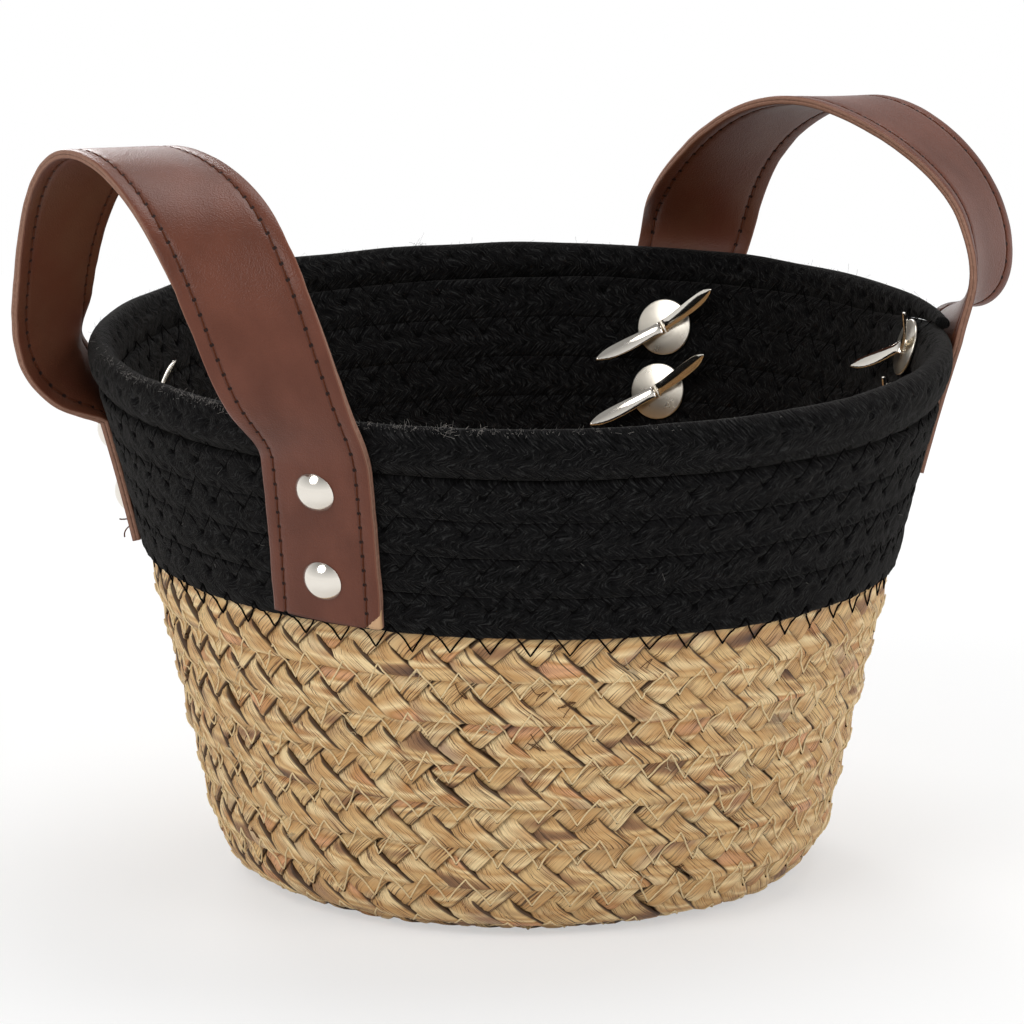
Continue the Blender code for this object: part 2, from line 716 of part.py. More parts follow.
def make_slot_cutter(name, place, cutters):
    """Make the block that cuts the slot for a brad's prongs."""
    across = PRONG_SPACING + 2 * PRONG_THICKNESS + 2 * FIT_GAP
    width = PRONG_WIDTH + 2 * FIT_GAP
    top = OVERRUN
    bottom = -washer_depth() - WASHER_THICKNESS - OVERRUN
    build = bmesh.new()
    size = Matrix.Diagonal((across, width, top - bottom, 1.0))
    bmesh.ops.create_cube(build, size=1.0, matrix=Matrix.Translation((0.0, 0.0, (top + bottom) / 2)) @ size)
    mesh = bpy.data.meshes.new(name)
    build.to_mesh(mesh)
    build.free()
    cutter = as_cutter(add_object(name, mesh, cutters))
    cutter.matrix_world = place
    return cutter


def slot_meets_straw(path, leg, row):
    """Return whether the slot of a brad reaches down into the straw below the braid."""
    facet = LEG_FACETS[(path.side, leg)] * 2 * math.pi / CORNERS_PER_TURN
    turn = (STRIP_END_ANGLE - facet) / (2 * math.pi) % 1.0
    straw_top = braid_edges(turn)[0] - ROW_GAP
    reach = (PRONG_WIDTH + FIT_GAP) / 2
    return path.place(leg, row) - reach < straw_top


def make_brads(path, leg, tabs, wall, group, cutters):
    """Fasten one tab to the wall, of straw and braid, with its two brads."""
    straw, braid = wall
    for row in ("lower", "upper"):
        name = f"{path.side}_{leg}_{row}"
        place = brad_matrix(path, leg, row)
        cutter = make_slot_cutter(f"{name}_slot", place, cutters)
        washer = make_washer(f"{name}_washer", place, group)
        make_head(f"{name}_brad_head", place, group)
        make_prongs(f"{name}_brad_prongs", place, group)
        pieces = [*tabs, washer, braid]
        if slot_meets_straw(path, leg, row):
            pieces.append(straw)
        for piece in pieces:
            cut(piece, cutter)


def main():
    """Build the whole basket."""
    clear_scene()
    group = make_collection("knitting_basket")
    cutters = make_collection("cutters")
    wall = (make_straw_plait(group, cutters), make_cotton_braid(group))
    for side in LEGS:
        path, tabs = make_handle(side, group)
        for leg in path.legs:
            make_brads(path, leg, tabs[leg], wall, group, cutters)


main()
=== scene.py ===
"""Knitting basket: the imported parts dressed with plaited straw, cotton braid, leather and nickel."""

import logging
import math
from dataclasses import dataclass, field
from enum import Enum
from typing import Any, Callable

import bmesh
import bpy
import numpy as np
from mathutils import Matrix, Vector
from mathutils.bvhtree import BVHTree

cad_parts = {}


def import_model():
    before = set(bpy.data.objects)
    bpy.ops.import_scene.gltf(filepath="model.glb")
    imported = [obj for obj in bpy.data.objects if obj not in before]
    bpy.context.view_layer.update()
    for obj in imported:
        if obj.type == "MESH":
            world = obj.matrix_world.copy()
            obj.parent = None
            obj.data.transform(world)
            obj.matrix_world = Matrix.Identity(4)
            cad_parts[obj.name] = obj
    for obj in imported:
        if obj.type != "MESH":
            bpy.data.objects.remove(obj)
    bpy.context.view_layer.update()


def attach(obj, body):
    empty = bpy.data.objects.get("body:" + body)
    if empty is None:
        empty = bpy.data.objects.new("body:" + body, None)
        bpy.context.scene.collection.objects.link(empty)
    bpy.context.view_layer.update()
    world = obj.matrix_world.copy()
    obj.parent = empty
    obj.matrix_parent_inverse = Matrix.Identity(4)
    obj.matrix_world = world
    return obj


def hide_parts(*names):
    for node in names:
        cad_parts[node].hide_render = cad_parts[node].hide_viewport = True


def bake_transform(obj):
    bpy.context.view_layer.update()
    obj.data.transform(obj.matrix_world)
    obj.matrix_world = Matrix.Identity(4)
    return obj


LOG = logging.getLogger("basket")
Array = np.ndarray
MM = 0.001
BODY = "basket"
UV_NAME = "Lay"


class Face(Enum):
    """A side of the wall or of a strap."""

    OUTER = 1.0
    INNER = -1.0


class Side(Enum):
    """A handle, by the side of the basket that it is on."""

    LEFT = "left"
    RIGHT = "right"


# Shaders


def linear(code: str) -> tuple[float, float, float, float]:
    """Turn an sRGB hex colour to linear.

    Args:
        code: six hexadecimal digits.

    Returns:
        Red, green, blue and an alpha of 1.
    """
    parts = [int(code[start:start + 2], 16) / 255 for start in (0, 2, 4)]
    red, green, blue = (part / 12.92 if part <= 0.04045 else ((part + 0.055) / 1.055) ** 2.4 for part in parts)
    return red, green, blue, 1.0


def add_node(tree: bpy.types.NodeTree, kind: str, settings: dict[str, Any] | None = None,
             links: dict[Any, Any] | None = None) -> bpy.types.Node:
    """Add a node with its settings and links.

    Args:
        tree: the node tree that takes it.
        kind: the node's type.
        settings: values by the name of a property, or by the name or number of an input.
        links: output sockets by the name or number of the input that they go to.

    Returns:
        The new node.
    """
    node = tree.nodes.new(kind)
    for key, value in (settings or {}).items():
        if isinstance(key, str) and hasattr(node, key):
            setattr(node, key, value)
        else:
            node.inputs[key].default_value = value
    for key, source in (links or {}).items():
        tree.links.new(source, node.inputs[key])
    return node


def calculate(tree: bpy.types.NodeTree, operation: str, *values: Any) -> bpy.types.NodeSocket:
    """Add a Math node on sockets and numbers and return its result.

    Args:
        tree: the node tree that takes it.
        operation: the node's operation.
        values: its inputs in order, each a socket or a number.

    Returns:
        The socket of its result.
    """
    numbers = {index: value for index, value in enumerate(values) if isinstance(value, (int, float))}
    sockets = {index: value for index, value in enumerate(values) if not isinstance(value, (int, float))}
    return add_node(tree, "ShaderNodeMath", {"operation": operation, **numbers}, sockets).outputs[0]


def blend_colour(tree: bpy.types.NodeTree, factor: Any, first: Any, second: Any,
                 mode: str = "MIX") -> bpy.types.NodeSocket:
    """Mix two colours and return the result.

    Args:
        tree: the node tree that takes the Mix node.
        factor: a socket or a number.
        first: a socket or a colour.
        second: a socket or a colour.
        mode: the Mix node's blend type.

    Returns:
        The socket of the mixed colour.
    """
    node = add_node(tree, "ShaderNodeMix", {"data_type": "RGBA", "blend_type": mode})
    for index, value in ((0, factor), (6, first), (7, second)):
        if isinstance(value, (int, float, tuple)):
            node.inputs[index].default_value = value
        else:
            tree.links.new(value, node.inputs[index])
    return node.outputs[2]


def ramp(tree: bpy.types.NodeTree, source: Any, stops: list[tuple[float, Any]]) -> bpy.types.NodeSocket:
    """Add a colour ramp and return its colour.

    Args:
        tree: the node tree that takes it.
        source: the socket that drives it.
        stops: places from 0 to 1, each with a linear colour.

    Returns:
        The socket of its colour.
    """
    node = add_node(tree, "ShaderNodeValToRGB", links={0: source})
    elements = node.color_ramp.elements
    while len(elements) < len(stops):
        elements.new(0.5)
    for element, (place, colour) in zip(elements, stops):
        element.position = place
        element.color = colour
    return node.outputs[0]


def grey(value: float) -> tuple[float, float, float, float]:
    """Return a linear grey."""
    return value, value, value, 1.0


@dataclass(frozen=True)
class Finish:
    """A finish: its name and the shader's plain values."""

    name: str
    roughness: float
    metallic: float = 0.0
    ior: float = 1.5

    def start(self) -> tuple[bpy.types.Material, bpy.types.NodeTree, bpy.types.Node]:
        """Make the material with its shader.

        Returns:
            The material, its node tree and its Principled shader.
        """
        material = bpy.data.materials.new(self.name)
        material.use_nodes = True
        tree = material.node_tree
        shader = tree.nodes["Principled BSDF"]
        shader.inputs["Roughness"].default_value = self.roughness
        shader.inputs["Metallic"].default_value = self.metallic
        shader.inputs["IOR"].default_value = self.ior
        return material, tree, shader

    def laid(self, tree: bpy.types.NodeTree) -> tuple[Any, Any, Any]:
        """Read the place on a piece from its UV map, in metres.

        Args:
            tree: the material's node tree.

        Returns:
            The sockets of the vector, of the length along the piece and of the place across it.
        """
        place = add_node(tree, "ShaderNodeUVMap", {"uv_map": UV_NAME}).outputs[0]
        parts = add_node(tree, "ShaderNodeSeparateXYZ", links={0: place})
        return place, parts.outputs[0], parts.outputs[1]

    def speckle(self, tree: bpy.types.NodeTree, place: Any, size: tuple[float, float, float],
                detail: float = 2.0, roughness: float = 0.5) -> bpy.types.NodeSocket:
        """Add noise whose grain has a size in metres.

        Args:
            tree: the material's node tree.
            place: the socket of the coordinates, in metres.
            size: the size of the grain along each axis.
            detail: the noise's octaves.
            roughness: how much the finer octaves count.

        Returns:
            The socket of the noise's value, about 0.5.
        """
        scale = tuple(1.0 / part for part in size)
        scaled = add_node(tree, "ShaderNodeVectorMath", {"operation": "MULTIPLY", 1: scale}, {0: place})
        noise = add_node(tree, "ShaderNodeTexNoise",
                         {"Scale": 1.0, "Detail": detail, "Roughness": roughness}, {0: scaled.outputs[0]})
        return noise.outputs[0]

    def emboss(self, tree: bpy.types.NodeTree, shader: bpy.types.Node, height: Any, depth: float,
               strength: float = 1.0) -> None:
        """Raise the surface by a height from 0 to 1, of a depth in metres.

        Args:
            tree: the material's node tree.
            shader: the Principled shader.
            height: the socket of the height.
            depth: the depth that a height of 1 stands for.
            strength: the bump's strength.
        """
        bump = add_node(tree, "ShaderNodeBump", {"Strength": strength, "Distance": depth}, {"Height": height})
        tree.links.new(bump.outputs[0], shader.inputs["Normal"])


@dataclass(frozen=True)
class DriedStalk(Finish):
    """Dried water plant, flattened and plaited: fibre lines along the stalk, each stretch its own tan."""

    name: str = "dried plaited stalk"
    roughness: float = 0.62
    offset: float = 0.0

    def material(self) -> bpy.types.Material:
        """Make the material.

        Returns:
            The material, whose fibres follow the stalk.
        """
        material, tree, shader = self.start()
        place, along, across = self.laid(tree)
        shifted = add_node(tree, "ShaderNodeVectorMath", {"operation": "ADD", 1: (self.offset, 0.0, 0.0)},
                           {0: place}).outputs[0]
        stretch = self.speckle(tree, shifted, (0.011, 0.05, 1.0), detail=1.0)
        tone = ramp(tree, stretch, [
            (0.27, linear("54392A")), (0.35, linear("A0764F")), (0.42, linear("E6C38A")), (0.49, linear("C99B62")),
            (0.56, linear("F5DAA6")), (0.62, linear("C08B53")), (0.68, linear("DFA87A")), (0.75, linear("875C47"))])
        blotch = self.speckle(tree, shifted, (0.03, 0.02, 1.0), detail=3.0)
        tone = blend_colour(tree, ramp(tree, blotch, [(0.58, grey(0.0)), (0.70, grey(0.75))]),
                            tone, linear("9C7662"))
        tone = blend_colour(tree, ramp(tree, blotch, [(0.28, grey(0.6)), (0.40, grey(0.0))]),
                            tone, linear("AF9B7C"))
        fibre = self.speckle(tree, shifted, (0.012, 0.00038, 1.0), detail=3.0, roughness=0.65)
        ribbed = ramp(tree, self.speckle(tree, shifted, (0.009, 0.006, 1.0), detail=1.0),
                      [(0.36, grey(0.40)), (0.56, grey(1.0))])
        tone = blend_colour(tree, ribbed, tone, ramp(tree, fibre, [
            (0.33, linear("3A220F")), (0.40, linear("8C6238")), (0.45, grey(0.80)), (0.54, grey(1.0)),
            (0.70, grey(1.0))]), "MULTIPLY")
        # Darker along each stalk's side edges: painted shade where one stalk meets the next.
        edge = calculate(tree, "MULTIPLY", calculate(tree, "ABSOLUTE", across), 1 / 0.0056)
        tone = blend_colour(tree, ramp(tree, edge, [(0.81, grey(0.0)), (0.90, grey(0.95))]),
                            tone, linear("3A2412"))
        crease = self.speckle(tree, shifted, (0.022, 0.0009, 1.0), detail=1.0)
        tone = blend_colour(tree, ramp(tree, crease, [(0.665, grey(0.0)), (0.69, grey(0.85))]),
                            tone, linear("3E2713"))
        tree.links.new(tone, shader.inputs["Base Color"])
        grain = self.speckle(tree, shifted, (0.0005, 0.0005, 1.0), detail=2.0)
        self.emboss(tree, shader, calculate(tree, "ADD", fibre, calculate(tree, "MULTIPLY", grain, 0.25)), 0.0004, 0.9)
        return material


@dataclass(frozen=True)
class SewingThread(Finish):
    """Spun sewing thread: fine turns of two plies along it."""

    name: str = "spun sewing thread"
    roughness: float = 0.7
    colour: str = "F3D9A8"
    twist: float = 0.0006
    gloss: float = 0.4

    def material(self) -> bpy.types.Material:
        """Make the material.

        Returns:
            The material, with the plies as a slanting ribbing.
        """
        material, tree, shader = self.start()
        place = add_node(tree, "ShaderNodeTexCoord").outputs["Object"]
        noise = self.speckle(tree, place, (self.twist, self.twist, self.twist), detail=1.0)
        tone = blend_colour(tree, noise, linear(self.colour), grey(0.55), "MULTIPLY")
        tree.links.new(tone, shader.inputs["Base Color"])
        shader.inputs["Specular IOR Level"].default_value = self.gloss
        self.emboss(tree, shader, noise, 0.0002, 0.5)
        return material


@dataclass(frozen=True)
class CottonBraidFinish(Finish):
    """Dyed cotton, braided in fine ribs that meet in points, with a soft nap that catches the light."""

    name: str = "black cotton braid"
    roughness: float = 0.95
    column: float = 0.0053

    def material(self) -> bpy.types.Material:
        """Make the material.

        Returns:
            The material, whose yarns follow the strip.
        """
        material, tree, shader = self.start()
        place, along, across = self.laid(tree)
        wobble = self.speckle(tree, place, (0.006, 0.004, 1.0), detail=2.0)
        slant = calculate(tree, "MULTIPLY", calculate(tree, "PINGPONG", calculate(
            tree, "ADD", across, calculate(tree, "MULTIPLY", wobble, 0.004)), self.column), 1.1)
        course = calculate(tree, "ADD", calculate(tree, "ADD", along, slant),
                           calculate(tree, "MULTIPLY", wobble, 0.003))
        lean = add_node(tree, "ShaderNodeCombineXYZ", links={0: course, 1: across}).outputs[0]
        yarn = self.speckle(tree, lean, (0.00058, 0.0022, 1.0), detail=3.0, roughness=0.6)
        grain = self.speckle(tree, place, (0.0004, 0.0004, 1.0), detail=3.0, roughness=0.6)
        tone = ramp(tree, yarn, [(0.35, linear("020202")), (0.46, linear("0D0D0E")), (0.56, linear("161616")),
                                 (0.66, linear("2D2D2D"))])
        tone = blend_colour(tree, 1.0, tone, ramp(tree, grain, [(0.32, grey(0.30)), (0.52, grey(1.0))]), "MULTIPLY")
        fuzz = self.speckle(tree, lean, (0.0004, 0.0012, 1.0), detail=2.0)
        tone = blend_colour(tree, ramp(tree, fuzz, [(0.68, grey(0.0)), (0.80, grey(0.40))]),
                            tone, linear("55524F"))
        tree.links.new(tone, shader.inputs["Base Color"])
        shader.inputs["Sheen Weight"].default_value = 0.12
        shader.inputs["Sheen Roughness"].default_value = 0.35
        shader.inputs["Sheen Tint"].default_value = linear("A8A29C")
        shader.inputs["Specular IOR Level"].default_value = 0.06
        height = calculate(tree, "ADD", yarn, calculate(tree, "MULTIPLY", grain, 0.5))
        self.emboss(tree, shader, height, 0.00055, 1.0)
        return material


@dataclass(frozen=True)
class Lint(Finish):
    """Loose cotton fibres, too thin to see one by one: drawn a little thicker than they are. Pale ones also lie in two
    bands along the rim as a painted highlight.
    """

    name: str = "loose cotton fibre"
    roughness: float = 0.9
    colour: str = "A8A29C"

    def material(self) -> bpy.types.Material:
        """Make the material.

        Returns:
            The material, plain but for a change of tone.
        """
        material, tree, shader = self.start()
        place = add_node(tree, "ShaderNodeTexCoord").outputs["Object"]
        noise = self.speckle(tree, place, (0.002, 0.002, 0.002))
        tone = blend_colour(tree, noise, linear(self.colour), linear("151415"))
        tree.links.new(tone, shader.inputs["Base Color"])
        return material


@dataclass(frozen=True)
class CoatedLeather(Finish):
    """Split leather with a pressed and coated grain: fine pebbles, a satin gloss and a raw cut edge."""

    name: str = "coated split leather"
    roughness: float = 0.37
    colour: str = "633626"
    edge: str = "A07B69"
    half_width: float = 0.015
    stitch_inset: float = 0.0036
    stitch_pitch: float = 0.004
    bare_corner: bool = False

    def material(self) -> bpy.types.Material:
        """Make the material.

        Returns:
            The material, with its grain, stitch holes and raw edge.
        """
        material, tree, shader = self.start()
        place, along, across = self.laid(tree)
        pebble = add_node(tree, "ShaderNodeTexVoronoi", {"feature": "SMOOTH_F1", "Scale": 1.0, "Smoothness": 0.6}, {
            "Vector": add_node(tree, "ShaderNodeVectorMath", {
                "operation": "MULTIPLY", 1: (1 / 0.00038, 1 / 0.00038, 1.0)}, {0: place}).outputs[0]}).outputs[0]
        patch = self.speckle(tree, place, (0.02, 0.012, 1.0), detail=3.0)
        tone = blend_colour(tree, ramp(tree, patch, [(0.35, grey(0.0)), (0.65, grey(1.0))]),
                            linear(self.colour), linear("562C1C"))
        aside = calculate(tree, "ABSOLUTE", across)
        off_line = calculate(tree, "ABSOLUTE", calculate(
            tree, "SUBTRACT", aside, self.half_width - self.stitch_inset))
        # Darker along the stitch line: painted shade in the groove that the stitches pull into the face.
        groove_shade = calculate(tree, "LESS_THAN", off_line, 0.0006)
        tone = blend_colour(tree, calculate(tree, "MULTIPLY", groove_shade, 0.3), tone, linear("3B1D12"))
        step = calculate(tree, "PINGPONG", along, self.stitch_pitch / 2)
        far = calculate(tree, "SQRT", calculate(
            tree, "ADD", calculate(tree, "POWER", step, 2.0), calculate(tree, "POWER", off_line, 2.0)))
        hole = calculate(tree, "LESS_THAN", far, 0.00055)
        # Dark spots at the stitch holes: painted shade inside the holes.
        tone = blend_colour(tree, hole, tone, linear("1E0D07"))
        ridge = calculate(tree, "GREATER_THAN", aside, self.half_width - 0.0004)
        tone = blend_colour(tree, calculate(tree, "MULTIPLY", ridge, 0.25), tone, linear("8A5A44"))
        raw = calculate(tree, "GREATER_THAN", aside, self.half_width - 0.00002)
        thread = self.speckle(tree, place, (0.0012, 0.0003, 1.0), detail=3.0)
        cut = blend_colour(tree, thread, linear(self.edge), linear("65412F"))
        tone = blend_colour(tree, raw, tone, cut)
        if self.bare_corner:
            reach = calculate(tree, "ADD", along, calculate(tree, "SUBTRACT", self.half_width, across))
            torn = calculate(tree, "ADD", reach, calculate(tree, "MULTIPLY", thread, 0.0012))
            tone = blend_colour(tree, calculate(tree, "LESS_THAN", torn, 0.0046), tone, linear("C09A74"))
        tree.links.new(tone, shader.inputs["Base Color"])
        rough = calculate(tree, "ADD", calculate(tree, "MULTIPLY", calculate(tree, "MAXIMUM", raw, hole), 0.4),
                          calculate(tree, "ADD", calculate(tree, "MULTIPLY", patch, 0.12), self.roughness - 0.06))
        tree.links.new(rough, shader.inputs["Roughness"])
        shader.inputs["Specular IOR Level"].default_value = 0.29
        self.emboss(tree, shader, pebble, 0.00009, 0.9)
        return material


@dataclass(frozen=True)
class PolishedNickel(Finish):
    """Nickel plating on pressed steel, polished bright, with hairline scratches."""

    name: str = "polished nickel plate"
    roughness: float = 0.1
    metallic: float = 1.0
    colour: str = "E8E2D8"

    def material(self) -> bpy.types.Material:
        """Make the material.

        Returns:
            The material, whose gloss changes a little over the surface.
        """
        material, tree, shader = self.start()
        place = add_node(tree, "ShaderNodeTexCoord").outputs["Object"]
        smear = self.speckle(tree, place, (0.003, 0.003, 0.003), detail=4.0)
        scratch = self.speckle(tree, place, (0.0002, 0.0025, 0.0025), detail=2.0)
        shader.inputs["Base Color"].default_value = linear(self.colour)
        rough = calculate(tree, "ADD", calculate(tree, "MULTIPLY", smear, 0.12), self.roughness - 0.05)
        tree.links.new(rough, shader.inputs["Roughness"])
        self.emboss(tree, shader, scratch, 0.00003, 0.25)
        return material


# Meshes


def finish_piece(name: str, mesh: bpy.types.Mesh, material: bpy.types.Material) -> bpy.types.Object:
    """Put a mesh in the scene as a piece.

    Args:
        name: the piece's name.
        mesh: its mesh, in place.
        material: its material.

    Returns:
        The piece, which doesn't ride on a body yet.
    """
    mesh.name = name
    mesh.materials.clear()
    mesh.materials.append(material)
    mesh.shade_smooth()
    piece = bpy.data.objects.new(name, mesh)
    bpy.context.scene.collection.objects.link(piece)
    LOG.info("%s: %d faces", name, len(mesh.polygons))
    return piece


def swept_mesh(along: int, around: int, shape: Callable[[Array, Array], tuple[Array, Array]]) -> bpy.types.Mesh:
    """Roll a grid into a closed tube of any section and path.

    Args:
        along: the grid's steps along the tube.
        around: its steps around the tube.
        shape: gives points and UV for shares along and around.

    Returns:
        The mesh, closed at both ends, facing out.
    """
    build = bmesh.new()
    bmesh.ops.create_grid(build, x_segments=along, y_segments=around, size=0.5)
    mesh = bpy.data.meshes.new("sweep")
    build.to_mesh(mesh)
    build.free()
    flat = np.empty(len(mesh.vertices) * 3)
    mesh.vertices.foreach_get("co", flat)
    flat = flat.reshape(-1, 3) + 0.5
    step_along = np.round(flat[:, 0] * along) / along
    step_around = np.round(flat[:, 1] * around) / around
    points, laid = shape(step_along, step_around)
    corners = np.empty(len(mesh.loops), int)
    mesh.loops.foreach_get("vertex_index", corners)
    mesh.uv_layers.new(name=UV_NAME).data.foreach_set("uv", laid[corners].astype(np.float32).ravel())
    mesh.vertices.foreach_set("co", points.astype(np.float32).ravel())
    build = bmesh.new()
    build.from_mesh(mesh)
    bmesh.ops.remove_doubles(build, verts=build.verts, dist=2e-6)
    rims = [edge for edge in build.edges if edge.is_boundary]
    bmesh.ops.holes_fill(build, edges=rims, sides=0)
    bmesh.ops.recalc_face_normals(build, faces=build.faces)
    build.to_mesh(mesh)
    build.free()
    return mesh


def thread_mesh(runs: list[Array], radius: float, sides: int = 1) -> bpy.types.Mesh:
    """Lay threads along runs of points.

    Args:
        runs: the points of each thread.
        radius: the threads' radius.
        sides: the curve's bevel resolution.

    Returns:
        One mesh with all the threads.
    """
    curve = bpy.data.curves.new("threads", "CURVE")
    curve.dimensions = "3D"
    curve.bevel_depth = radius
    curve.bevel_resolution = sides
    curve.use_fill_caps = True
    for run in runs:
        spline = curve.splines.new("POLY")
        spline.points.add(len(run) - 1)
        spline.points.foreach_set("co", np.c_[run, np.ones(len(run))].astype(np.float32).ravel())
    holder = bpy.data.objects.new("threads", curve)
    bpy.context.scene.collection.objects.link(holder)
    bpy.context.view_layer.update()
    mesh = bpy.data.meshes.new_from_object(holder.evaluated_get(bpy.context.evaluated_depsgraph_get()))
    bpy.data.objects.remove(holder)
    bpy.data.curves.remove(curve)
    return mesh


def wander(place: Array, step: float, seed: int) -> Array:
    """Return a smooth random value, from -1 to 1, that changes over about a step.

    Args:
        place: where to read it.
        step: the distance between its turning points.
        seed: the number that fixes it.

    Returns:
        The value at each place.
    """
    count = int(np.max(place) / step) + 4
    values = np.random.RandomState(seed).uniform(-1.0, 1.0, count)
    spot = np.clip(place / step, 0, count - 2)
    low = np.floor(spot).astype(int)
    share = spot - low
    share = share * share * (3 - 2 * share)
    return values[low] * (1 - share) + values[low + 1] * share


# The wall


@dataclass(frozen=True)
class Wall:
    """The wall's profile, and the strips that wind up it."""

    base_radius: float = 0.061
    corner_radius: float = 0.017
    lean: float = math.radians(13.0)
    flare_radius: float = 0.60
    straw_thickness: float = 0.0050
    straw_pitch: float = 0.0117
    straw_start: float = 0.0059
    straw_turns: float = 12.90625
    floor_cut: float = 0.0005
    braid_thickness: float = 0.0075
    braid_pitch: float = 0.0106
    braid_turns: float = 5.0
    rim_row: float = 0.0155
    end_height: float = 0.0030
    blend_turns: float = 0.08
    row_gap: float = 0.0006
    corners: int = 32
    end_angle: float = math.radians(-28.125)
    front_turn: float = 0.265
    skew: float = math.radians(2.7)
    offset: float = math.radians(-2.9)

    @property
    def braid_start(self) -> float:
        """Length along the profile at which the straw ends."""
        return self.straw_start + self.straw_pitch * self.straw_turns

    @property
    def roundness(self) -> float:
        """Radius of the round wall as a share of the radius at the corners of the plain model."""
        return (1 + math.cos(math.pi / self.corners)) / 2

    def azimuth(self, angle: Array | float) -> Array | float:
        """Return the direction from the axis for an angle around the evenly divided basket."""
        return angle + self.skew * np.cos(angle) + self.offset

    def profile(self, length: Array) -> tuple[Array, Array, Array]:
        """Follow the profile of the wall's middle.

        Args:
            length: the length along it from the axis.

        Returns:
            The radius, the height and the slope there.
        """
        length = np.asarray(length, float)
        slope = math.pi / 2 - self.lean
        corner = self.corner_radius * slope
        bend = np.clip((length - self.base_radius) / self.corner_radius, 0, slope)
        run = self.braid_start - self.base_radius - corner
        straight = np.clip(length - self.base_radius - corner, 0, run)
        flared = np.maximum(length - self.braid_start, 0) / self.flare_radius
        radius = np.minimum(length, self.base_radius) + self.corner_radius * np.sin(bend)
        radius = radius + straight * math.cos(slope)
        radius = radius + self.flare_radius * (math.sin(slope) - np.sin(slope - flared))
        height = self.straw_thickness / 2 - self.floor_cut + self.corner_radius * (1 - np.cos(bend))
        height = height + straight * math.sin(slope)
        height = height + self.flare_radius * (np.cos(slope - flared) - math.cos(slope))
        return radius, height, bend - flared

    def point(self, length: Array, azimuth: Array, out: Array) -> Array:
        """Return points of the round wall.

        Args:
            length: the length along the profile.
            azimuth: the direction from the axis.
            out: the distance out from the wall's middle.

        Returns:
            The points, one row each.
        """
        radius, height, slope = self.profile(np.maximum(length, 0.0002))
        radius = radius * self.roundness + out * np.sin(slope)
        return np.stack([radius * np.cos(azimuth), radius * np.sin(azimuth), height - out * np.cos(slope)], -1)

    def braid_height(self, turn: float) -> float:
        """Return the height of the braid's row, with its gap, at a turn."""
        if turn < 1:
            return self.straw_pitch + (self.braid_pitch - self.straw_pitch) * turn
        last = self.braid_turns - 1
        if turn <= last:
            share = min(max((turn - last) / self.blend_turns + 1, 0.0), 1.0)
            return self.braid_pitch + (self.rim_row - self.braid_pitch) * share * share * (3 - 2 * share)
        return self.braid_low(last) + self.rim_row + self.end_height * (turn - last) - self.braid_low(turn)

    def braid_low(self, turn: float) -> float:
        """Return the lower edge of the braid along the profile at a turn."""
        if turn <= 1:
            return self.braid_start - (self.straw_pitch - self.row_gap) / 2 + self.straw_pitch * turn
        return self.braid_low(turn - 1) + self.braid_height(turn - 1)

    @property
    def rim_top(self) -> float:
        """Length along the profile of the rim's top at the front."""
        turn = self.braid_turns - 1 + self.front_turn
        return self.braid_low(turn) + self.braid_height(turn) - self.row_gap


@dataclass
class Strip:
    """A strip that winds along the wall, with its places measured along it and across it."""

    wall: Wall
    turns: float
    samples: int = 4000
    table: dict[str, Array] = field(default_factory=dict)

    def edges(self, turn: float) -> tuple[float, float]:
        """Return the lower and upper edge along the profile at a turn."""
        raise NotImplementedError

    def angle(self, turn: Array) -> Array:
        """Return the direction from the axis at a turn."""
        raise NotImplementedError

    def measure(self) -> None:
        """Tabulate the strip's middle, half height and length by turn."""
        turn = np.linspace(0, self.turns, self.samples)
        edges = np.array([self.edges(value) for value in turn])
        middle = edges.mean(1)
        radius = self.wall.profile(middle)[0]
        steps = np.diff(turn) * 2 * math.pi * (radius[1:] + radius[:-1]) / 2
        self.table = {"turn": turn, "middle": middle, "half": (edges[:, 1] - edges[:, 0]) / 2,
                      "length": np.r_[0, np.cumsum(steps)]}

    @property
    def length(self) -> float:
        """Whole length of the strip."""
        return float(self.table["length"][-1])

    def turn_at(self, along: Array) -> Array:
        """Return the turn at a length along the strip."""
        return np.interp(along, self.table["length"], self.table["turn"])

    def along_at(self, turn: Array) -> Array:
        """Return the length along the strip at a turn."""
        return np.interp(turn, self.table["turn"], self.table["length"])

    def half_at(self, turn: Array) -> Array:
        """Return half the strip's height at a turn."""
        return np.interp(turn, self.table["turn"], self.table["half"])

    def lay(self, along: Array, across: Array, out: Array) -> Array:
        """Return points of the strip.

        Args:
            along: the length along the strip.
            across: the distance up from its middle.
            out: the distance out from the wall's middle.

        Returns:
            The points, one row each.
        """
        turn = self.turn_at(along)
        middle = np.interp(turn, self.table["turn"], self.table["middle"])
        return self.wall.point(middle + across, self.angle(turn), out)


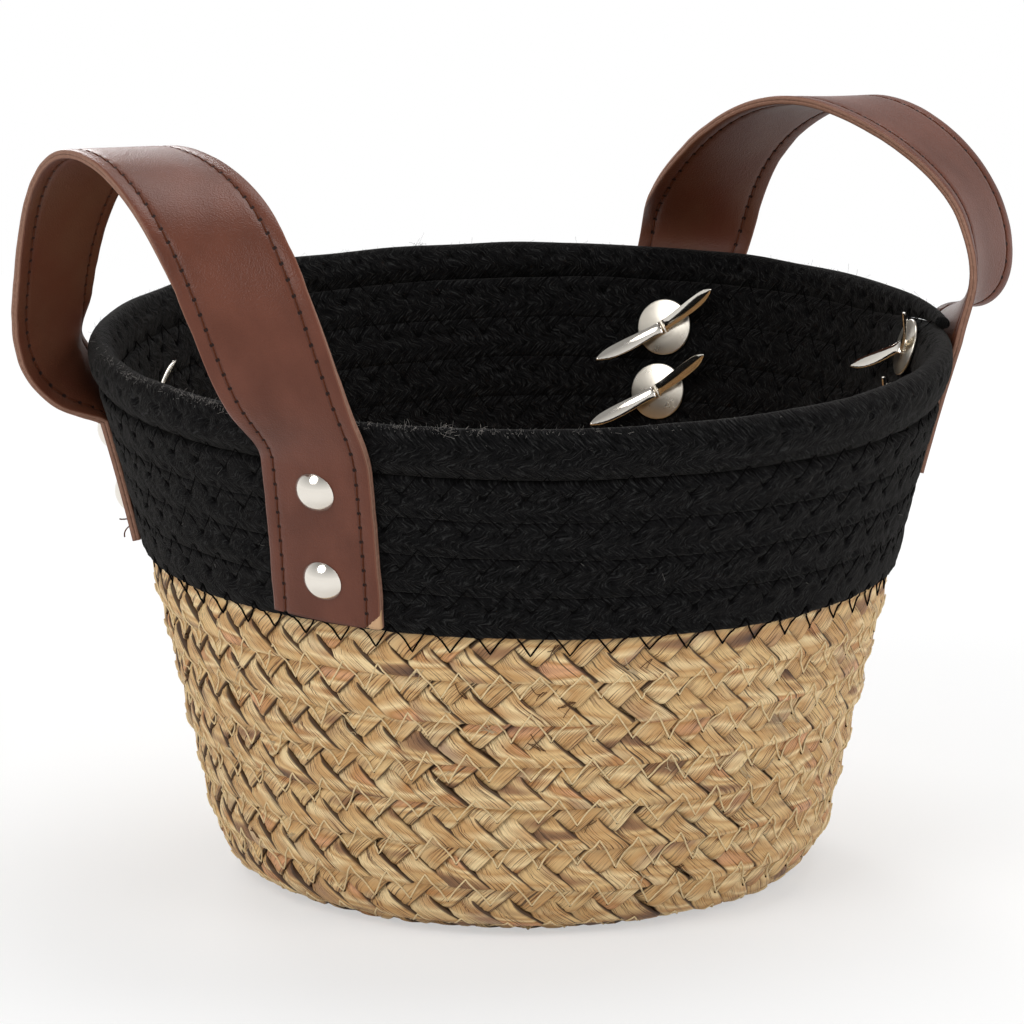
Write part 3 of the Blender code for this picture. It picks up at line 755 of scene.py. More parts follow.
@dataclass
class StrawPlait(Strip):
    """The straw strip: three flat stalks, folded over at its edges, sewn to the next row with a zigzag."""

    strands: int = 3
    period: float = 0.030
    half_height: float = 0.0059
    half_depth: float = 0.00125
    stalk_thickness: float = 0.0024
    stalk_spread: float = 0.0106
    rings: int = 35
    crowding: float = 0.55
    shingle: float = 0.055
    tuck: float = 0.15
    round_top: float = 0.75
    stitch_pitch: float = 0.0095
    stitch_steps: int = 12
    stitch_above: float = 0.0024
    stitch_below: float = 0.0054
    thread_radius: float = 0.00023
    hole_shade_radius: float = 0.00042
    frays: int = 64
    pressed: float = 0.0006

    def edges(self, turn: float) -> tuple[float, float]:
        """Return the lower and upper edge along the profile at a turn."""
        middle = self.wall.straw_start + self.wall.straw_pitch * turn
        return middle - self.wall.straw_pitch / 2, middle + self.wall.straw_pitch / 2

    def angle(self, turn: Array) -> Array:
        """Return the direction from the axis at a turn."""
        return self.wall.azimuth(self.wall.end_angle + 2 * math.pi * (self.turns - turn))

    def height_wave(self, beat: Array) -> Array:
        """Return a stalk's height in the row, from -1 to 1: folded at the bottom and rounder at the top.

        Args:
            beat: how many times it has gone up and down.

        Returns:
            The share of the row's half height.
        """
        smooth = np.cos(2 * math.pi * beat)
        folded = np.arcsin(0.99 * smooth) / math.asin(0.99)
        share = self.round_top * (0.5 + 0.5 * smooth)
        return folded * (1 - share) + smooth * share

    def depth_wave(self, beat: Array) -> Array:
        """Return a stalk's depth in the row, from -1 to 1: it goes over and under by turns."""
        return np.tanh(2.9 * np.sin(4 * math.pi * beat)) / math.tanh(2.9)

    def strand_shape(self, strand: int) -> Callable[[Array, Array], tuple[Array, Array]]:
        """Give the shape of one stalk.

        Args:
            strand: its number.

        Returns:
            A function that places shares along and around the stalk.
        """
        total = self.length
        spots = np.array([-1, -0.95, -0.80, -0.40, 0.0, 0.45, 0.82, 0.96])
        swell = np.array([0.20, 0.66, 0.92, 1.0, 0.97, 1.0, 0.88, 0.60])
        spots = np.concatenate([spots, -spots, spots[:1]])
        swell = np.concatenate([swell, -swell, swell[:1]])

        def shape(share: Array, around: Array) -> tuple[Array, Array]:
            lead = strand / self.strands
            count = share * total / self.period + lead
            beat = count - self.crowding * np.sin(8 * math.pi * count) / (8 * math.pi)
            along = (beat - lead) * self.period
            index = np.round(around * (len(spots) - 1)).astype(int)
            place = np.clip(along, 0, None)
            spread = self.stalk_spread / 2 * (1 + 0.06 * wander(place, 0.017, strand))
            aside = spots[index] * spread
            thick = self.stalk_thickness / 2 * (1 + 0.18 * wander(place, 0.009, 10 + strand)) * swell[index]
            held = np.sin(2 * math.pi * beat) ** 2
            shifted = beat + aside / (2 * self.period) * held
            deep = self.half_depth * (1 + 0.12 * wander(place, 0.011, 20 + strand))
            tall = self.half_height * (1 + 0.035 * wander(place, 0.015, 30 + strand))
            step = 0.003
            rise = self.height_wave(beat + step) - self.height_wave(beat - step)
            sink = self.depth_wave(shifted + step) - self.depth_wave(shifted - step)
            rise, sink = rise * tall, sink * deep
            size = np.sqrt(rise ** 2 + sink ** 2) + 1e-9
            side = self.depth_wave(shifted)
            tilt = self.shingle + 0.06 * wander(place, 0.008, 40 + strand)
            across = self.height_wave(beat) * tall - sink / size * thick
            out = side * deep + rise / size * thick - side * aside * tilt * held
            out = out - self.tuck * across
            drift = 0.0011 * wander(place, 0.019, 50) + 0.0004 * wander(place, 0.012, 51 + strand)
            spot = np.clip(along + aside + drift, 0, total)
            points = self.lay(spot, across, out)
            low = np.minimum(points[..., 2], self.pressed)
            points[..., 2] = np.where(low < self.pressed, self.pressed * np.exp(low / self.pressed - 1), points[..., 2])
            return points, np.stack([beat * self.period * 1.25, aside], -1)

        return shape

    def seam_path(self, face: Face) -> tuple[Array, Array]:
        """Lay out the zigzag that joins each row to the next, flat.

        Args:
            face: which face of the wall.

        Returns:
            The length along the strip and the distance up from its middle.
        """
        first, last = self.along_at(0.45), self.along_at(self.turns - 1.0)
        legs = int((last - first) / (self.stitch_pitch / 2))
        steps = self.stitch_steps
        index = np.arange(legs * steps + 1)
        along = first + index * self.stitch_pitch / 2 / steps
        level = np.abs((index / steps) % 2 - 1)
        top = self.stitch_above + 0.0007 * wander(along, 0.013, 60)
        low = self.stitch_below + 0.0009 * wander(along, 0.011, 61)
        along = along + 0.0007 * wander(along, 0.012, 62 + (face is Face.INNER))
        return along, self.wall.straw_pitch / 2 - low + (top + low) * level

    def build(self) -> list[bpy.types.Object]:
        """Make the stalks and the threads that sew the rows.

        Returns:
            The stalks.
        """
        self.measure()
        stalks = []
        for strand in range(self.strands):
            finish = DriedStalk(name=f"dried plaited stalk {strand + 1}", offset=3.7 * strand)
            mesh = swept_mesh(int(self.length / self.period * self.rings), 16, self.strand_shape(strand))
            piece = finish_piece(f"straw_strand_{strand + 1}", mesh, finish.material())
            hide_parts("straw_plait")
            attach(piece, BODY)
            stalks.append(piece)
        thread = SewingThread(name="undyed sewing thread").material()
        cover = Cover(stalks)
        for face in Face:
            along, across = self.seam_path(face)
            run = cover.drape(self, along, across, face, self.thread_radius)
            mesh = thread_mesh([run], self.thread_radius, 1 if face is Face.OUTER else 0)
            piece = finish_piece(f"straw_seam_thread_{face.name.lower()}", mesh, thread)
            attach(piece, BODY)
            if face is Face.OUTER:
                self.lay_hole_shade(run[self.stitch_steps::2 * self.stitch_steps])
        self.fray(cover)
        return stalks

    def lay_hole_shade(self, tips: Array) -> None:
        """Lay dark beads in the needle holes: painted shade, where the holes show dark beside the thread.

        Args:
            tips: the lower tips of the thread.
        """
        # Dark beads sunk in the straw: painted shade in the needle holes.
        build = bmesh.new()
        for tip in tips:
            inward = Vector((-tip[0], -tip[1], 0.0)).normalized() * 0.00028
            bmesh.ops.create_icosphere(build, subdivisions=1, radius=self.hole_shade_radius,
                                       matrix=Matrix.Translation(Vector(tip) + inward))
        mesh = bpy.data.meshes.new("holes")
        build.to_mesh(mesh)
        build.free()
        shade = SewingThread(name="shaded needle hole", colour="38220F", gloss=0.0, roughness=1.0).material()
        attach(finish_piece("straw_needle_hole_shade", mesh, shade), BODY)

    def fray(self, cover: "Cover") -> None:
        """Scatter splinters and torn fibres that stand off the stalks.

        Args:
            cover: the surface of the stalks.
        """
        source = np.random.RandomState(8)
        share = np.linspace(0, 1, 7)
        runs: dict[str, list[Array]] = {"pale": [], "dark": []}
        for _ in range(self.frays):
            middle = source.uniform(self.along_at(6.5), self.length - 0.01)
            level = source.uniform(-0.0045, 0.0045)
            tone = "pale" if source.uniform() < 0.8 else "dark"
            slant = source.choice([-0.7, 0.7])
            for _ in range(source.randint(2, 6)):
                heading, reach = slant + source.normal(0.0, 0.15), source.uniform(0.0015, 0.0045)
                curl = source.normal(0.0, 0.8)
                along = middle + source.normal(0.0, 0.0004) + reach * share * math.cos(heading)
                across = level + reach * (share * math.sin(heading) + curl * share ** 3 * 0.5)
                lift = 0.0002 + 0.0009 * source.uniform(0.2, 1.0) * share ** 2
                runs[tone].append(cover.drape(self, along, across, Face.OUTER, lift))
        for tone, colour in (("pale", "D8C09A"), ("dark", "6B4B30")):
            finish = SewingThread(name=f"torn {tone} fibre", colour=colour, gloss=0.2)
            piece = finish_piece(f"straw_frays_{tone}", thread_mesh(runs[tone], 0.00011, 0), finish.material())
            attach(piece, BODY)


@dataclass
class Cover:
    """The surface of some pieces, on which threads are laid."""

    pieces: list[bpy.types.Object]
    reach: float = 0.008

    def __post_init__(self) -> None:
        """Gather the faces of the pieces."""
        corners, faces = [], []
        for piece in self.pieces:
            first = len(corners)
            corners.extend(vertex.co.copy() for vertex in piece.data.vertices)
            faces.extend([first + corner for corner in polygon.vertices] for polygon in piece.data.polygons)
        self.tree = BVHTree.FromPolygons(corners, faces)

    def drape(self, strip: "Strip", along: Array, across: Array, face: Face, radius: float) -> Array:
        """Lay a thread on the surface.

        Args:
            strip: the strip whose places the thread is given in.
            along: the length along the strip.
            across: the distance up from its middle.
            face: the face of the wall that it lies on.
            radius: the thread's radius.

        Returns:
            The thread's points.
        """
        far = strip.lay(along, across, np.full(len(along), face.value * self.reach))
        near = strip.lay(along, across, np.zeros(len(along)))
        out = np.empty(len(along))
        for index, (start, stop) in enumerate(zip(far, near)):
            towards = Vector(stop - start)
            hit = self.tree.ray_cast(Vector(start), towards.normalized(), self.reach * 1.2)
            out[index] = self.reach - hit[3] if hit[3] is not None else np.nan
        known = ~np.isnan(out)
        out = np.interp(np.arange(len(out)), np.flatnonzero(known), out[known])
        taut = out.copy()
        for _ in range(4):
            taut[1:-1] = np.maximum(taut[1:-1], (taut[:-2] + taut[2:]) / 2)
        taut = np.minimum(taut, out + 0.0007)
        return strip.lay(along, across, face.value * (taut + radius * 0.6))


@dataclass
class CottonBraid(Strip):
    """The black cotton strip, from the straw to the rim, sewn with black thread."""

    step: float = 0.0008
    sides: int = 44
    rim_sides: int = 60
    flatness: float = 6.5
    rim_flatness: float = 2.25
    overlap: float = 0.0003
    stitch_pitch: float = 0.0096
    stitch_above: float = 0.0022
    stitch_below: float = 0.0042
    joining_reach: float = 0.0048
    thread_radius: float = 0.00023
    sunk_radius: float = 0.00015

    def edges(self, turn: float) -> tuple[float, float]:
        """Return the lower and upper edge along the profile at a turn."""
        low = self.wall.braid_low(turn)
        return low, low + self.wall.braid_height(turn)

    def angle(self, turn: Array) -> Array:
        """Return the direction from the axis at a turn."""
        return self.wall.azimuth(self.wall.end_angle - 2 * math.pi * turn)

    def half_depth(self, turn: Array) -> Array:
        """Return half the braid's thickness at a turn: it thins out at its end."""
        share = np.clip((turn - self.turns) / self.wall.blend_turns + 1, 0, 1)
        return self.wall.braid_thickness / 2 * (1 - 0.5 * share * share * (3 - 2 * share))

    def relief(self, along: Array, across: Array, half: Array) -> Array:
        """Return how far the sewing and the braiding sink the face.

        Args:
            along: the length along the strip.
            across: the distance up from its middle.
            half: half the row's height there.

        Returns:
            The depth, in metres.
        """
        pitch = self.stitch_pitch
        level = np.abs(along / pitch * 2 % 2 - 1)
        reach = self.stitch_above + self.stitch_below
        seam = half - self.stitch_below + reach * level
        from_line = np.minimum(np.abs(across - seam), np.abs(across + 2 * half - seam))
        depth = 0.00028 * np.exp(-(from_line / 0.0009) ** 2)
        from_hole = np.abs(along % pitch - pitch / 2)
        below = across - (half - self.stitch_below)
        depth = depth + 0.0009 * np.exp(-(from_hole / 0.0010) ** 2 - (below / 0.0009) ** 2)
        from_tip = np.minimum(along % pitch, pitch - along % pitch)
        above = across + half - self.stitch_above
        depth = depth + 0.0006 * np.exp(-(from_tip / 0.0010) ** 2 - (above / 0.0009) ** 2)
        depth = depth + 0.00010 * np.sin(2 * math.pi * (along + np.abs(across)) / 0.0041)
        return depth + 0.00022 * wander(along, 0.0037, 70) * np.cos(across / 0.0022)

    def row_shape(self, first: float, last: float) -> Callable[[Array, Array], tuple[Array, Array]]:
        """Give the shape of a stretch of the braid.

        Args:
            first: the turn where it starts.
            last: the turn where it ends.

        Returns:
            A function that places shares along and around it.
        """
        start, end = float(self.along_at(first)), float(self.along_at(last))

        def shape(share: Array, around: Array) -> tuple[Array, Array]:
            along = start + (end - start) * share
            place = self.turn_at(along)
            rim = np.clip((place - (self.turns - 1)) / self.wall.blend_turns + 1, 0, 1)
            power = self.flatness + (self.rim_flatness - self.flatness) * rim
            turn = around * 2 * math.pi
            half = self.half_at(place) + self.overlap * (1 - rim)
            share_across = np.cos(turn)
            bulge = (1 - np.minimum(np.abs(share_across), 1.0) ** power) ** (1 / power)
            across = share_across * half
            out = np.where(np.sin(turn) >= -1e-9, bulge, -bulge) * self.half_depth(place)
            out = out - np.sign(out) * self.relief(along, across, half) * bulge
            out = out * (1 + 0.03 * wander(along, 0.021, 80))
            across = across + 0.00025 * wander(along, 0.017, 81) * np.abs(np.cos(turn))
            points = self.lay(along, across, out)
            laid = np.where(np.sin(turn) >= 0, across, across + 0.0318)
            return points, np.stack([along, laid], -1)

        return shape

    def seam_path(self) -> tuple[Array, Array]:
        """Lay out the black zigzag in each seam above the first row, flat.

        Returns:
            The length along the strip and the distance up from its middle.
        """
        last = float(self.along_at(self.turns - 1))
        steps = 6
        index = np.arange(int(last / (self.stitch_pitch / 2)) * steps + 1)
        along = index * self.stitch_pitch / 2 / steps
        level = np.abs((index / steps) % 2 - 1)
        half = self.half_at(self.turn_at(along))
        return along, half - self.stitch_below + (self.stitch_above + self.stitch_below) * level

    def joining_path(self, face: Face) -> tuple[Array, Array]:
        """Lay out the black zigzag that joins the first row to the straw, flat.

        Args:
            face: which face of the wall.

        Returns:
            The length along the strip and the distance up from its middle.
        """
        last = float(self.along_at(1.0))
        steps = 12
        legs = int(last / (self.stitch_pitch / 2))
        index = np.arange(legs * steps + 1)
        along = index * self.stitch_pitch / 2 / steps
        level = np.abs((index / steps) % 2 - 1)
        half = self.half_at(self.turn_at(along))
        low = self.joining_reach * (1 + 0.12 * wander(along, 0.012, 61 + (face is Face.INNER)))
        shift = 0.0006 * wander(along, 0.014, 64 + (face is Face.INNER))
        return np.clip(along + shift, 0, None), -half - low + (self.stitch_above + low) * level

    def build(self, stalks: list[bpy.types.Object]) -> None:
        """Make the rows, the rim and the threads that sew them.

        Args:
            stalks: the straw below.
        """
        self.measure()
        material = CottonBraidFinish().material()
        stretches = {"cotton_rows_lower": (0.0, 2.0, self.step, self.sides),
                     "cotton_rows_upper": (2.0, self.turns - 1, self.step, self.sides),
                     "cotton_rim": (self.turns - 1.002, self.turns, self.step, self.rim_sides)}
        rows = []
        for name, (first, last, step, sides) in stretches.items():
            size = float(self.along_at(last) - self.along_at(first))
            mesh = swept_mesh(int(size / step), sides, self.row_shape(first, last))
            piece = finish_piece(name, mesh, material)
            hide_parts("cotton_braid")
            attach(piece, BODY)
            rows.append(piece)
        thread = SewingThread(name="black sewing thread", colour="0B0A0A", gloss=0.03, roughness=0.95).material()
        cover = Cover([*stalks, *rows])
        for face in Face:
            joining = cover.drape(self, *self.joining_path(face), face, self.thread_radius)
            seams = cover.drape(self, *self.seam_path(), face, -self.sunk_radius)
            for title, run, radius in (("joining", joining, self.thread_radius), ("seam", seams, self.sunk_radius)):
                name = f"cotton_{title}_thread_{face.name.lower()}"
                piece = finish_piece(name, thread_mesh([run], radius), thread)
                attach(piece, BODY)

    def spot(self, turn: float, angle: float) -> tuple[Array, Array]:
        """Find a place on the cotton's surface.

        Args:
            turn: the turn that it is on.
            angle: its direction round the row: 0 up, positive outwards.

        Returns:
            The point and the surface's normal.
        """
        half, depth = float(self.half_at(turn)), float(self.half_depth(turn))
        along = np.array([float(self.along_at(turn))])
        share = math.sin(abs(angle)) ** 0.9 * (1.0 if angle >= 0 else -1.0)
        across, out = half * math.cos(angle), depth * share
        root = self.lay(along, np.array([across]), np.array([out]))[0]
        reach = self.lay(along, np.array([across + 0.001 * math.cos(angle)]),
                         np.array([out + 0.001 * math.sin(angle)]))[0]
        return root, (reach - root) / max(float(np.linalg.norm(reach - root)), 1e-9)

    def build_lint(self) -> None:
        """Scatter loose fibres on the rim and the rows, tufts where they have gathered, and two bands of pale fibres
        along the rim that are a painted highlight.
        """
        source = np.random.RandomState(5)
        steps = np.linspace(0, 1, 5)[:, None]

        def fibre(turn: float, angle: float, reach: float, lift: float) -> Array:
            root, normal = self.spot(turn, angle)
            lean, curl = source.normal(0.0, 0.7, 3), source.normal(0.0, 0.9, 3)
            heading = normal * lift + lean
            return root - normal * 0.0001 + (heading * steps + (curl - normal * lift) * steps ** 2) * reach

        dark, pale = [], []
        for _ in range(1300):
            turn = source.uniform(self.turns - 0.999, self.turns)
            dark.append(fibre(turn, source.normal(0.0, 0.45), source.uniform(0.0002, 0.0006), 0.35))
        for _ in range(420):
            dark.append(fibre(source.uniform(0.05, self.turns - 0.02), source.uniform(0.6, 1.3),
                              source.uniform(0.0006, 0.0014), 0.15))
        for number in range(60):
            pale.append(fibre(source.uniform(0.05, self.turns - 0.02), source.uniform(0.4, 1.4),
                              source.uniform(0.0008, 0.0022), 0.3))
        for tuft in TUFTS:
            middle = self.turns - 1 + ((self.wall.end_angle - math.radians(tuft.azimuth)) / (2 * math.pi)) % 1
            for _ in range(tuft.fibres):
                run = fibre(middle + source.normal(0.0, tuft.spread), source.normal(0.1, 0.2),
                            source.uniform(0.5, 1.0) * tuft.reach, tuft.lift)
                (pale if tuft.pale else dark).append(run)
        for name, runs, finish, radius in (("dark", dark, Lint(name="loose black fibre", colour="3A3738"), 0.000024),
                                           ("pale", pale, Lint(), 0.00003)):
            piece = finish_piece(f"cotton_lint_{name}", thread_mesh(runs, radius, 0), finish.material())
            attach(piece, BODY)


@dataclass(frozen=True)
class Tuft:
    """A tuft of fibres on the rim: its direction in degrees, and its size."""

    azimuth: float
    fibres: int
    reach: float
    spread: float
    pale: bool
    lift: float = 0.5


# The two wide bands of short pale fibres lying flat, at -128 and -172 degrees, are a painted highlight along the rim's
# edge, where its fuzz catches the light; the other tufts are lint.
TUFTS = [Tuft(-129.4, 22, 0.0016, 0.0020, True), Tuft(-124.7, 16, 0.0014, 0.0012, True, 0.6),
         Tuft(-134.5, 14, 0.0011, 0.0035, True), Tuft(-112.0, 8, 0.0010, 0.0030, True),
         Tuft(-128.0, 520, 0.0006, 0.0380, True, 0.1), Tuft(-172.0, 420, 0.0006, 0.0330, True, 0.1),
         Tuft(72.7, 30, 0.0015, 0.0012, False, 0.6)]


# The straps


@dataclass(frozen=True)
class Leg:
    """One leg of a strap: its facet, its places on the wall and how it bows and turns, as in the plain model."""

    facet: int
    foot: float
    lower: float
    upper: float
    root: float
    bow: tuple[float, float, float]
    shoulder: tuple[float, float, float]
    turns: tuple[float, float]
    lean: float = 0.0


@dataclass
class Strap:
    """A handle: a strap of two layers, stitched along both edges, fastened with two brads a leg."""

    side: Side
    wall: Wall
    legs: dict[str, Leg]
    rise: float
    crest: tuple[float, float]
    roll: float
    width: float = 0.030
    leather: float = 0.0011
    lining: float = 0.0010
    gap: float = 0.0003
    path_steps: int = 48
    stitch_inset: float = 0.0036
    stitch_pitch: float = 0.0040
    points: Array = field(default_factory=lambda: np.zeros((0, 3)))
    widths: Array = field(default_factory=lambda: np.zeros((0, 3)))
    hugs: Array = field(default_factory=lambda: np.zeros(0))
    lengths: Array = field(default_factory=lambda: np.zeros(0))

    def __post_init__(self) -> None:
        """Find the handle's directions and trace its path."""
        names = list(self.legs)
        angles = [float(self.leg_azimuth(name)) for name in names]
        if angles[0] < angles[1]:
            angles[1] -= 2 * math.pi
        self.azimuth = sum(angles) / 2
        self.half_angle = (angles[0] - angles[1]) / 2
        self.out = np.array([math.cos(self.azimuth), math.sin(self.azimuth), 0.0])
        self.along = np.array([-math.sin(self.azimuth), math.cos(self.azimuth), 0.0])
        self.trace()

    def leg_azimuth(self, name: str) -> float:
        """Return the direction from the axis to a leg."""
        return float(self.wall.azimuth(self.legs[name].facet * 2 * math.pi / self.wall.corners))

    def sign(self, name: str) -> float:
        """Return which way a leg lies from the middle of the handle."""
        return 1.0 if name == list(self.legs)[0] else -1.0

    def place(self, share: float) -> float:
        """Return the length along the profile for a share of the braid's height."""
        low = self.wall.braid_low(self.wall.front_turn)
        return low + (self.wall.rim_top - low) * share

    def on_wall(self, name: str, share: float) -> tuple[Array, Array, Array]:
        """Find the strap's middle on the wall.

        Args:
            name: the leg.
            share: the share of the braid's height.

        Returns:
            The point, the wall's normal and the strap's tangent.
        """
        leg = self.legs[name]
        length = self.place(share)
        radius, height, slope = (float(value) for value in self.wall.profile(np.array(length)))
        radius *= math.cos(math.pi / self.wall.corners)
        azimuth = self.leg_azimuth(name)
        outward = np.array([math.cos(azimuth), math.sin(azimuth), 0.0])
        up = np.array([0.0, 0.0, 1.0])
        normal = outward * math.sin(slope) - up * math.cos(slope)
        tangent = outward * math.cos(slope) + up * math.sin(slope)
        aside = np.cross(tangent, normal)
        lean = leg.lean * self.sign(name)
        lift = self.wall.braid_thickness / 2 + self.gap * 1.5 + self.lining
        point = outward * radius + up * height + normal * lift
        point = point - aside * (self.place(leg.root) - length) * math.tan(lean)
        return point, normal, tangent * math.cos(lean) + aside * math.sin(lean)

    def controls(self, name: str) -> tuple[Array, Array, Array, Array]:
        """Find where a leg bows and rounds over.

        Args:
            name: the leg.

        Returns:
            Its root, bow and shoulder, and the direction in which it leaves the wall.
        """
        leg = self.legs[name]
        root, normal, tangent = self.on_wall(name, leg.root)
        aside = np.cross(tangent, normal) * self.sign(name)
        bow = root + (tangent * leg.bow[0] + normal * leg.bow[1] + aside * leg.bow[2]) * self.rise
        radius, height = self.rim()
        shoulder = self.out * radius * math.cos(self.half_angle)
        shoulder = shoulder + self.along * self.sign(name) * radius * math.sin(self.half_angle)
        shoulder = shoulder + np.array([0.0, 0.0, height])
        out, along, up = leg.shoulder
        shoulder = shoulder + (self.out * out + self.along * self.sign(name) * along
                               + np.array([0.0, 0.0, up])) * self.rise
        return root, bow, shoulder, tangent

    def rim(self) -> tuple[float, float]:
        """Return the rim's greatest outer radius and its height."""
        turn = self.wall.braid_turns - 1 + self.wall.front_turn
        middle = (self.wall.braid_low(turn) + self.wall.rim_top) / 2
        radius, _, slope = self.wall.profile(np.array(middle))
        height = self.wall.profile(np.array(self.wall.rim_top))[1]
        return float(radius + self.wall.braid_thickness / 2 * np.sin(slope)), float(height)

    def trace(self) -> None:
        """Trace the strap's middle line and width direction from foot to foot."""
        first, last = list(self.legs)
        root_a, bow_a, shoulder_a, leave_a = self.controls(first)
        root_b, bow_b, shoulder_b, leave_b = self.controls(last)
        radius, height = self.rim()
        crest = self.out * (radius * math.cos(self.half_angle) + self.crest[0] * self.rise)
        crest = crest + self.along * self.crest[1] * self.rise + np.array([0.0, 0.0, height + self.rise])
        knots = np.array([root_a, bow_a, shoulder_a, crest, shoulder_b, bow_b, root_b])
        spans = np.linalg.norm(np.diff(knots, axis=0), axis=1)
        turns_a, turns_b = self.legs[first].turns, self.legs[last].turns
        turns = np.array([[1.0], [turns_a[0]], [turns_a[1]], [0.0], [-turns_b[1]], [-turns_b[0]], [-1.0]])
        speeds = knot_speeds(knots, spans, leave_a, -leave_b)
        turn_speeds = knot_speeds(turns, spans, np.zeros(1), np.zeros(1))
        share = np.linspace(0, 1, self.path_steps, endpoint=False)[:, None]
        arc, twist = [], []
        for index, span in enumerate(spans):
            arc.append(hermite(knots, speeds, index, span, share))
            twist.append(hermite(turns, turn_speeds, index, span, share))
        tabs = {}
        for name in (first, last):
            leg = self.legs[name]
            shares = leg.foot + (leg.root - leg.foot) * np.linspace(0, 1, 24, endpoint=False)
            tabs[name] = np.array([self.on_wall(name, value)[0] for value in shares])
        self.points = np.vstack([tabs[first], *arc, root_b[None], tabs[last][::-1]])
        turn = np.concatenate([np.ones(24), np.concatenate(twist)[:, 0], [-1.0], -np.ones(24)])
        angle = (math.pi / 2 - self.half_angle) * turn
        roll = math.tan(self.roll) * (1 - np.minimum(np.abs(turn), 1.0))
        widths = np.sin(angle)[:, None] * self.along - np.cos(angle)[:, None] * self.out
        widths[:, 2] -= roll
        tangent = np.gradient(self.points, axis=0)
        tangent /= np.linalg.norm(tangent, axis=1)[:, None]
        widths = widths - (widths * tangent).sum(1)[:, None] * tangent
        self.widths = widths / np.linalg.norm(widths, axis=1)[:, None]
        self.lengths = np.r_[0, np.cumsum(np.linalg.norm(np.diff(self.points, axis=0), axis=1))]
        tab_a, tab_b = self.tab_length(first), self.tab_length(last)
        off = np.maximum(np.maximum(tab_a - self.lengths, self.lengths - (self.lengths[-1] - tab_b)) + 0.012, 0)
        self.hugs = np.clip(off / 0.012, 0, 1)

    def tab_length(self, name: str) -> float:
        """Return the length of a leg's tab, from its foot to its root."""
        leg = self.legs[name]
        return self.place(leg.root) - self.place(leg.foot)

    def lay(self, length: Array, across: Array, out: Array) -> Array:
        """Return points of the strap.

        Args:
            length: the length from the first foot.
            across: the distance from its middle line.
            out: the distance out from its middle.

        Returns:
            The points, one row each.
        """
        point = np.stack([np.interp(length, self.lengths, self.points[:, axis]) for axis in range(3)], -1)
        width = np.stack([np.interp(length, self.lengths, self.widths[:, axis]) for axis in range(3)], -1)
        step = 0.0015
        ahead = np.stack([np.interp(length + step, self.lengths, self.points[:, axis]) for axis in range(3)], -1)
        behind = np.stack([np.interp(length - step, self.lengths, self.points[:, axis]) for axis in range(3)], -1)
        tangent = ahead - behind
        tangent = tangent / np.linalg.norm(tangent, axis=1)[:, None]
        width = width - (width * tangent).sum(1)[:, None] * tangent
        width = width / np.linalg.norm(width, axis=1)[:, None]
        normal = np.cross(width, tangent)
        hug = np.interp(length, self.lengths, self.hugs)
        sag = hug * across ** 2 / (2 * 0.108)
        return point + width * across[:, None] + normal * (out - sag)[:, None]

    def section(self, face: Face) -> tuple[Array, Array, Array]:
        """Give the outline of one layer: places across, heights, and how much a stitch pulls each down.

        Args:
            face: which layer.

        Returns:
            The closed outline's places across, its heights and its pulls.
        """
        half = self.width / 2
        line = half - self.stitch_inset
        spots = [(half, 0.35, 0.0), (half - 0.0001, 0.80, 0.0), (half - 0.0005, 0.94, 0.0), (half - 0.0016, 0.97, 0.0),
                 (line + 0.0008, 0.95, 0.1), (line + 0.0004, 0.86, 0.6), (line, 0.78, 1.0), (line - 0.0004, 0.86, 0.6),
                 (line - 0.0009, 0.97, 0.1), (line - 0.002, 1.0, 0.0), (0.006, 1.0, 0.0), (0.0, 1.0, 0.0)]
        face_side = [(x, h, p) for x, h, p in spots] + [(-x, h, p) for x, h, p in reversed(spots[:-1])]
        back = [(-half, 0.03, 0.0), (-0.0075, 0.03, 0.0), (0.0, 0.03, 0.0), (0.0075, 0.03, 0.0), (half, 0.03, 0.0)]
        outline = face_side + back
        outline.append(outline[0])
        across, height, pull = (np.array(values) for values in zip(*outline))
        depth = self.leather + self.gap / 2 if face is Face.OUTER else self.lining + self.gap / 2
        return across, face.value * height * depth, face.value * pull * 0.0004

    def layer_shape(self, face: Face) -> tuple[int, Callable[[Array, Array], tuple[Array, Array]]]:
        """Give the shape of one layer.

        Args:
            face: which layer.

        Returns:
            The steps around it and a function that places shares along and around.
        """
        across, height, pull = self.section(face)
        sides = len(across) - 1
        total = float(self.lengths[-1])
        half = self.width / 2

        def shape(share: Array, around: Array) -> tuple[Array, Array]:
            index = np.round(around * sides).astype(int)
            length = share * total
            hole = np.exp(-((np.abs((length + self.stitch_pitch / 2) % self.stitch_pitch
                                    - self.stitch_pitch / 2)) / 0.0006) ** 2)
            out = height[index] - pull[index] * hole
            edge = 0.00012 * wander(length, 0.004, 90) * (np.abs(across[index]) > half - 0.0008)
            points = self.lay(length, across[index] + edge * np.sign(across[index]), out)
            beyond = np.where(np.abs(height[index]) < 0.0007, 0.0012, 0.0)
            laid = across[index] + np.sign(across[index]) * beyond * (np.abs(across[index]) > half - 0.0002)
            return points, np.stack([length, laid], -1)

        return sides, shape

    def stitch_runs(self, face: Face) -> list[Array]:
        """Lay the stitches of one face.

        Args:
            face: which face.

        Returns:
            The points of each stitch.
        """
        depth = self.leather + self.gap / 2 if face is Face.OUTER else self.lining + self.gap / 2
        count = int(self.lengths[-1] / self.stitch_pitch)
        shares = np.linspace(-1, 1, 7)
        runs = []
        for edge in (-1.0, 1.0):
            for number in range(count):
                middle = (number + 0.5) * self.stitch_pitch
                length = middle + shares * self.stitch_pitch * 0.47
                across = np.full(7, edge * (self.width / 2 - self.stitch_inset)) + 0.0001 * shares
                height = depth * 0.80 + 0.00005 - 0.00062 * np.abs(shares) ** 4
                runs.append(self.lay(length, across, face.value * height))
        return runs

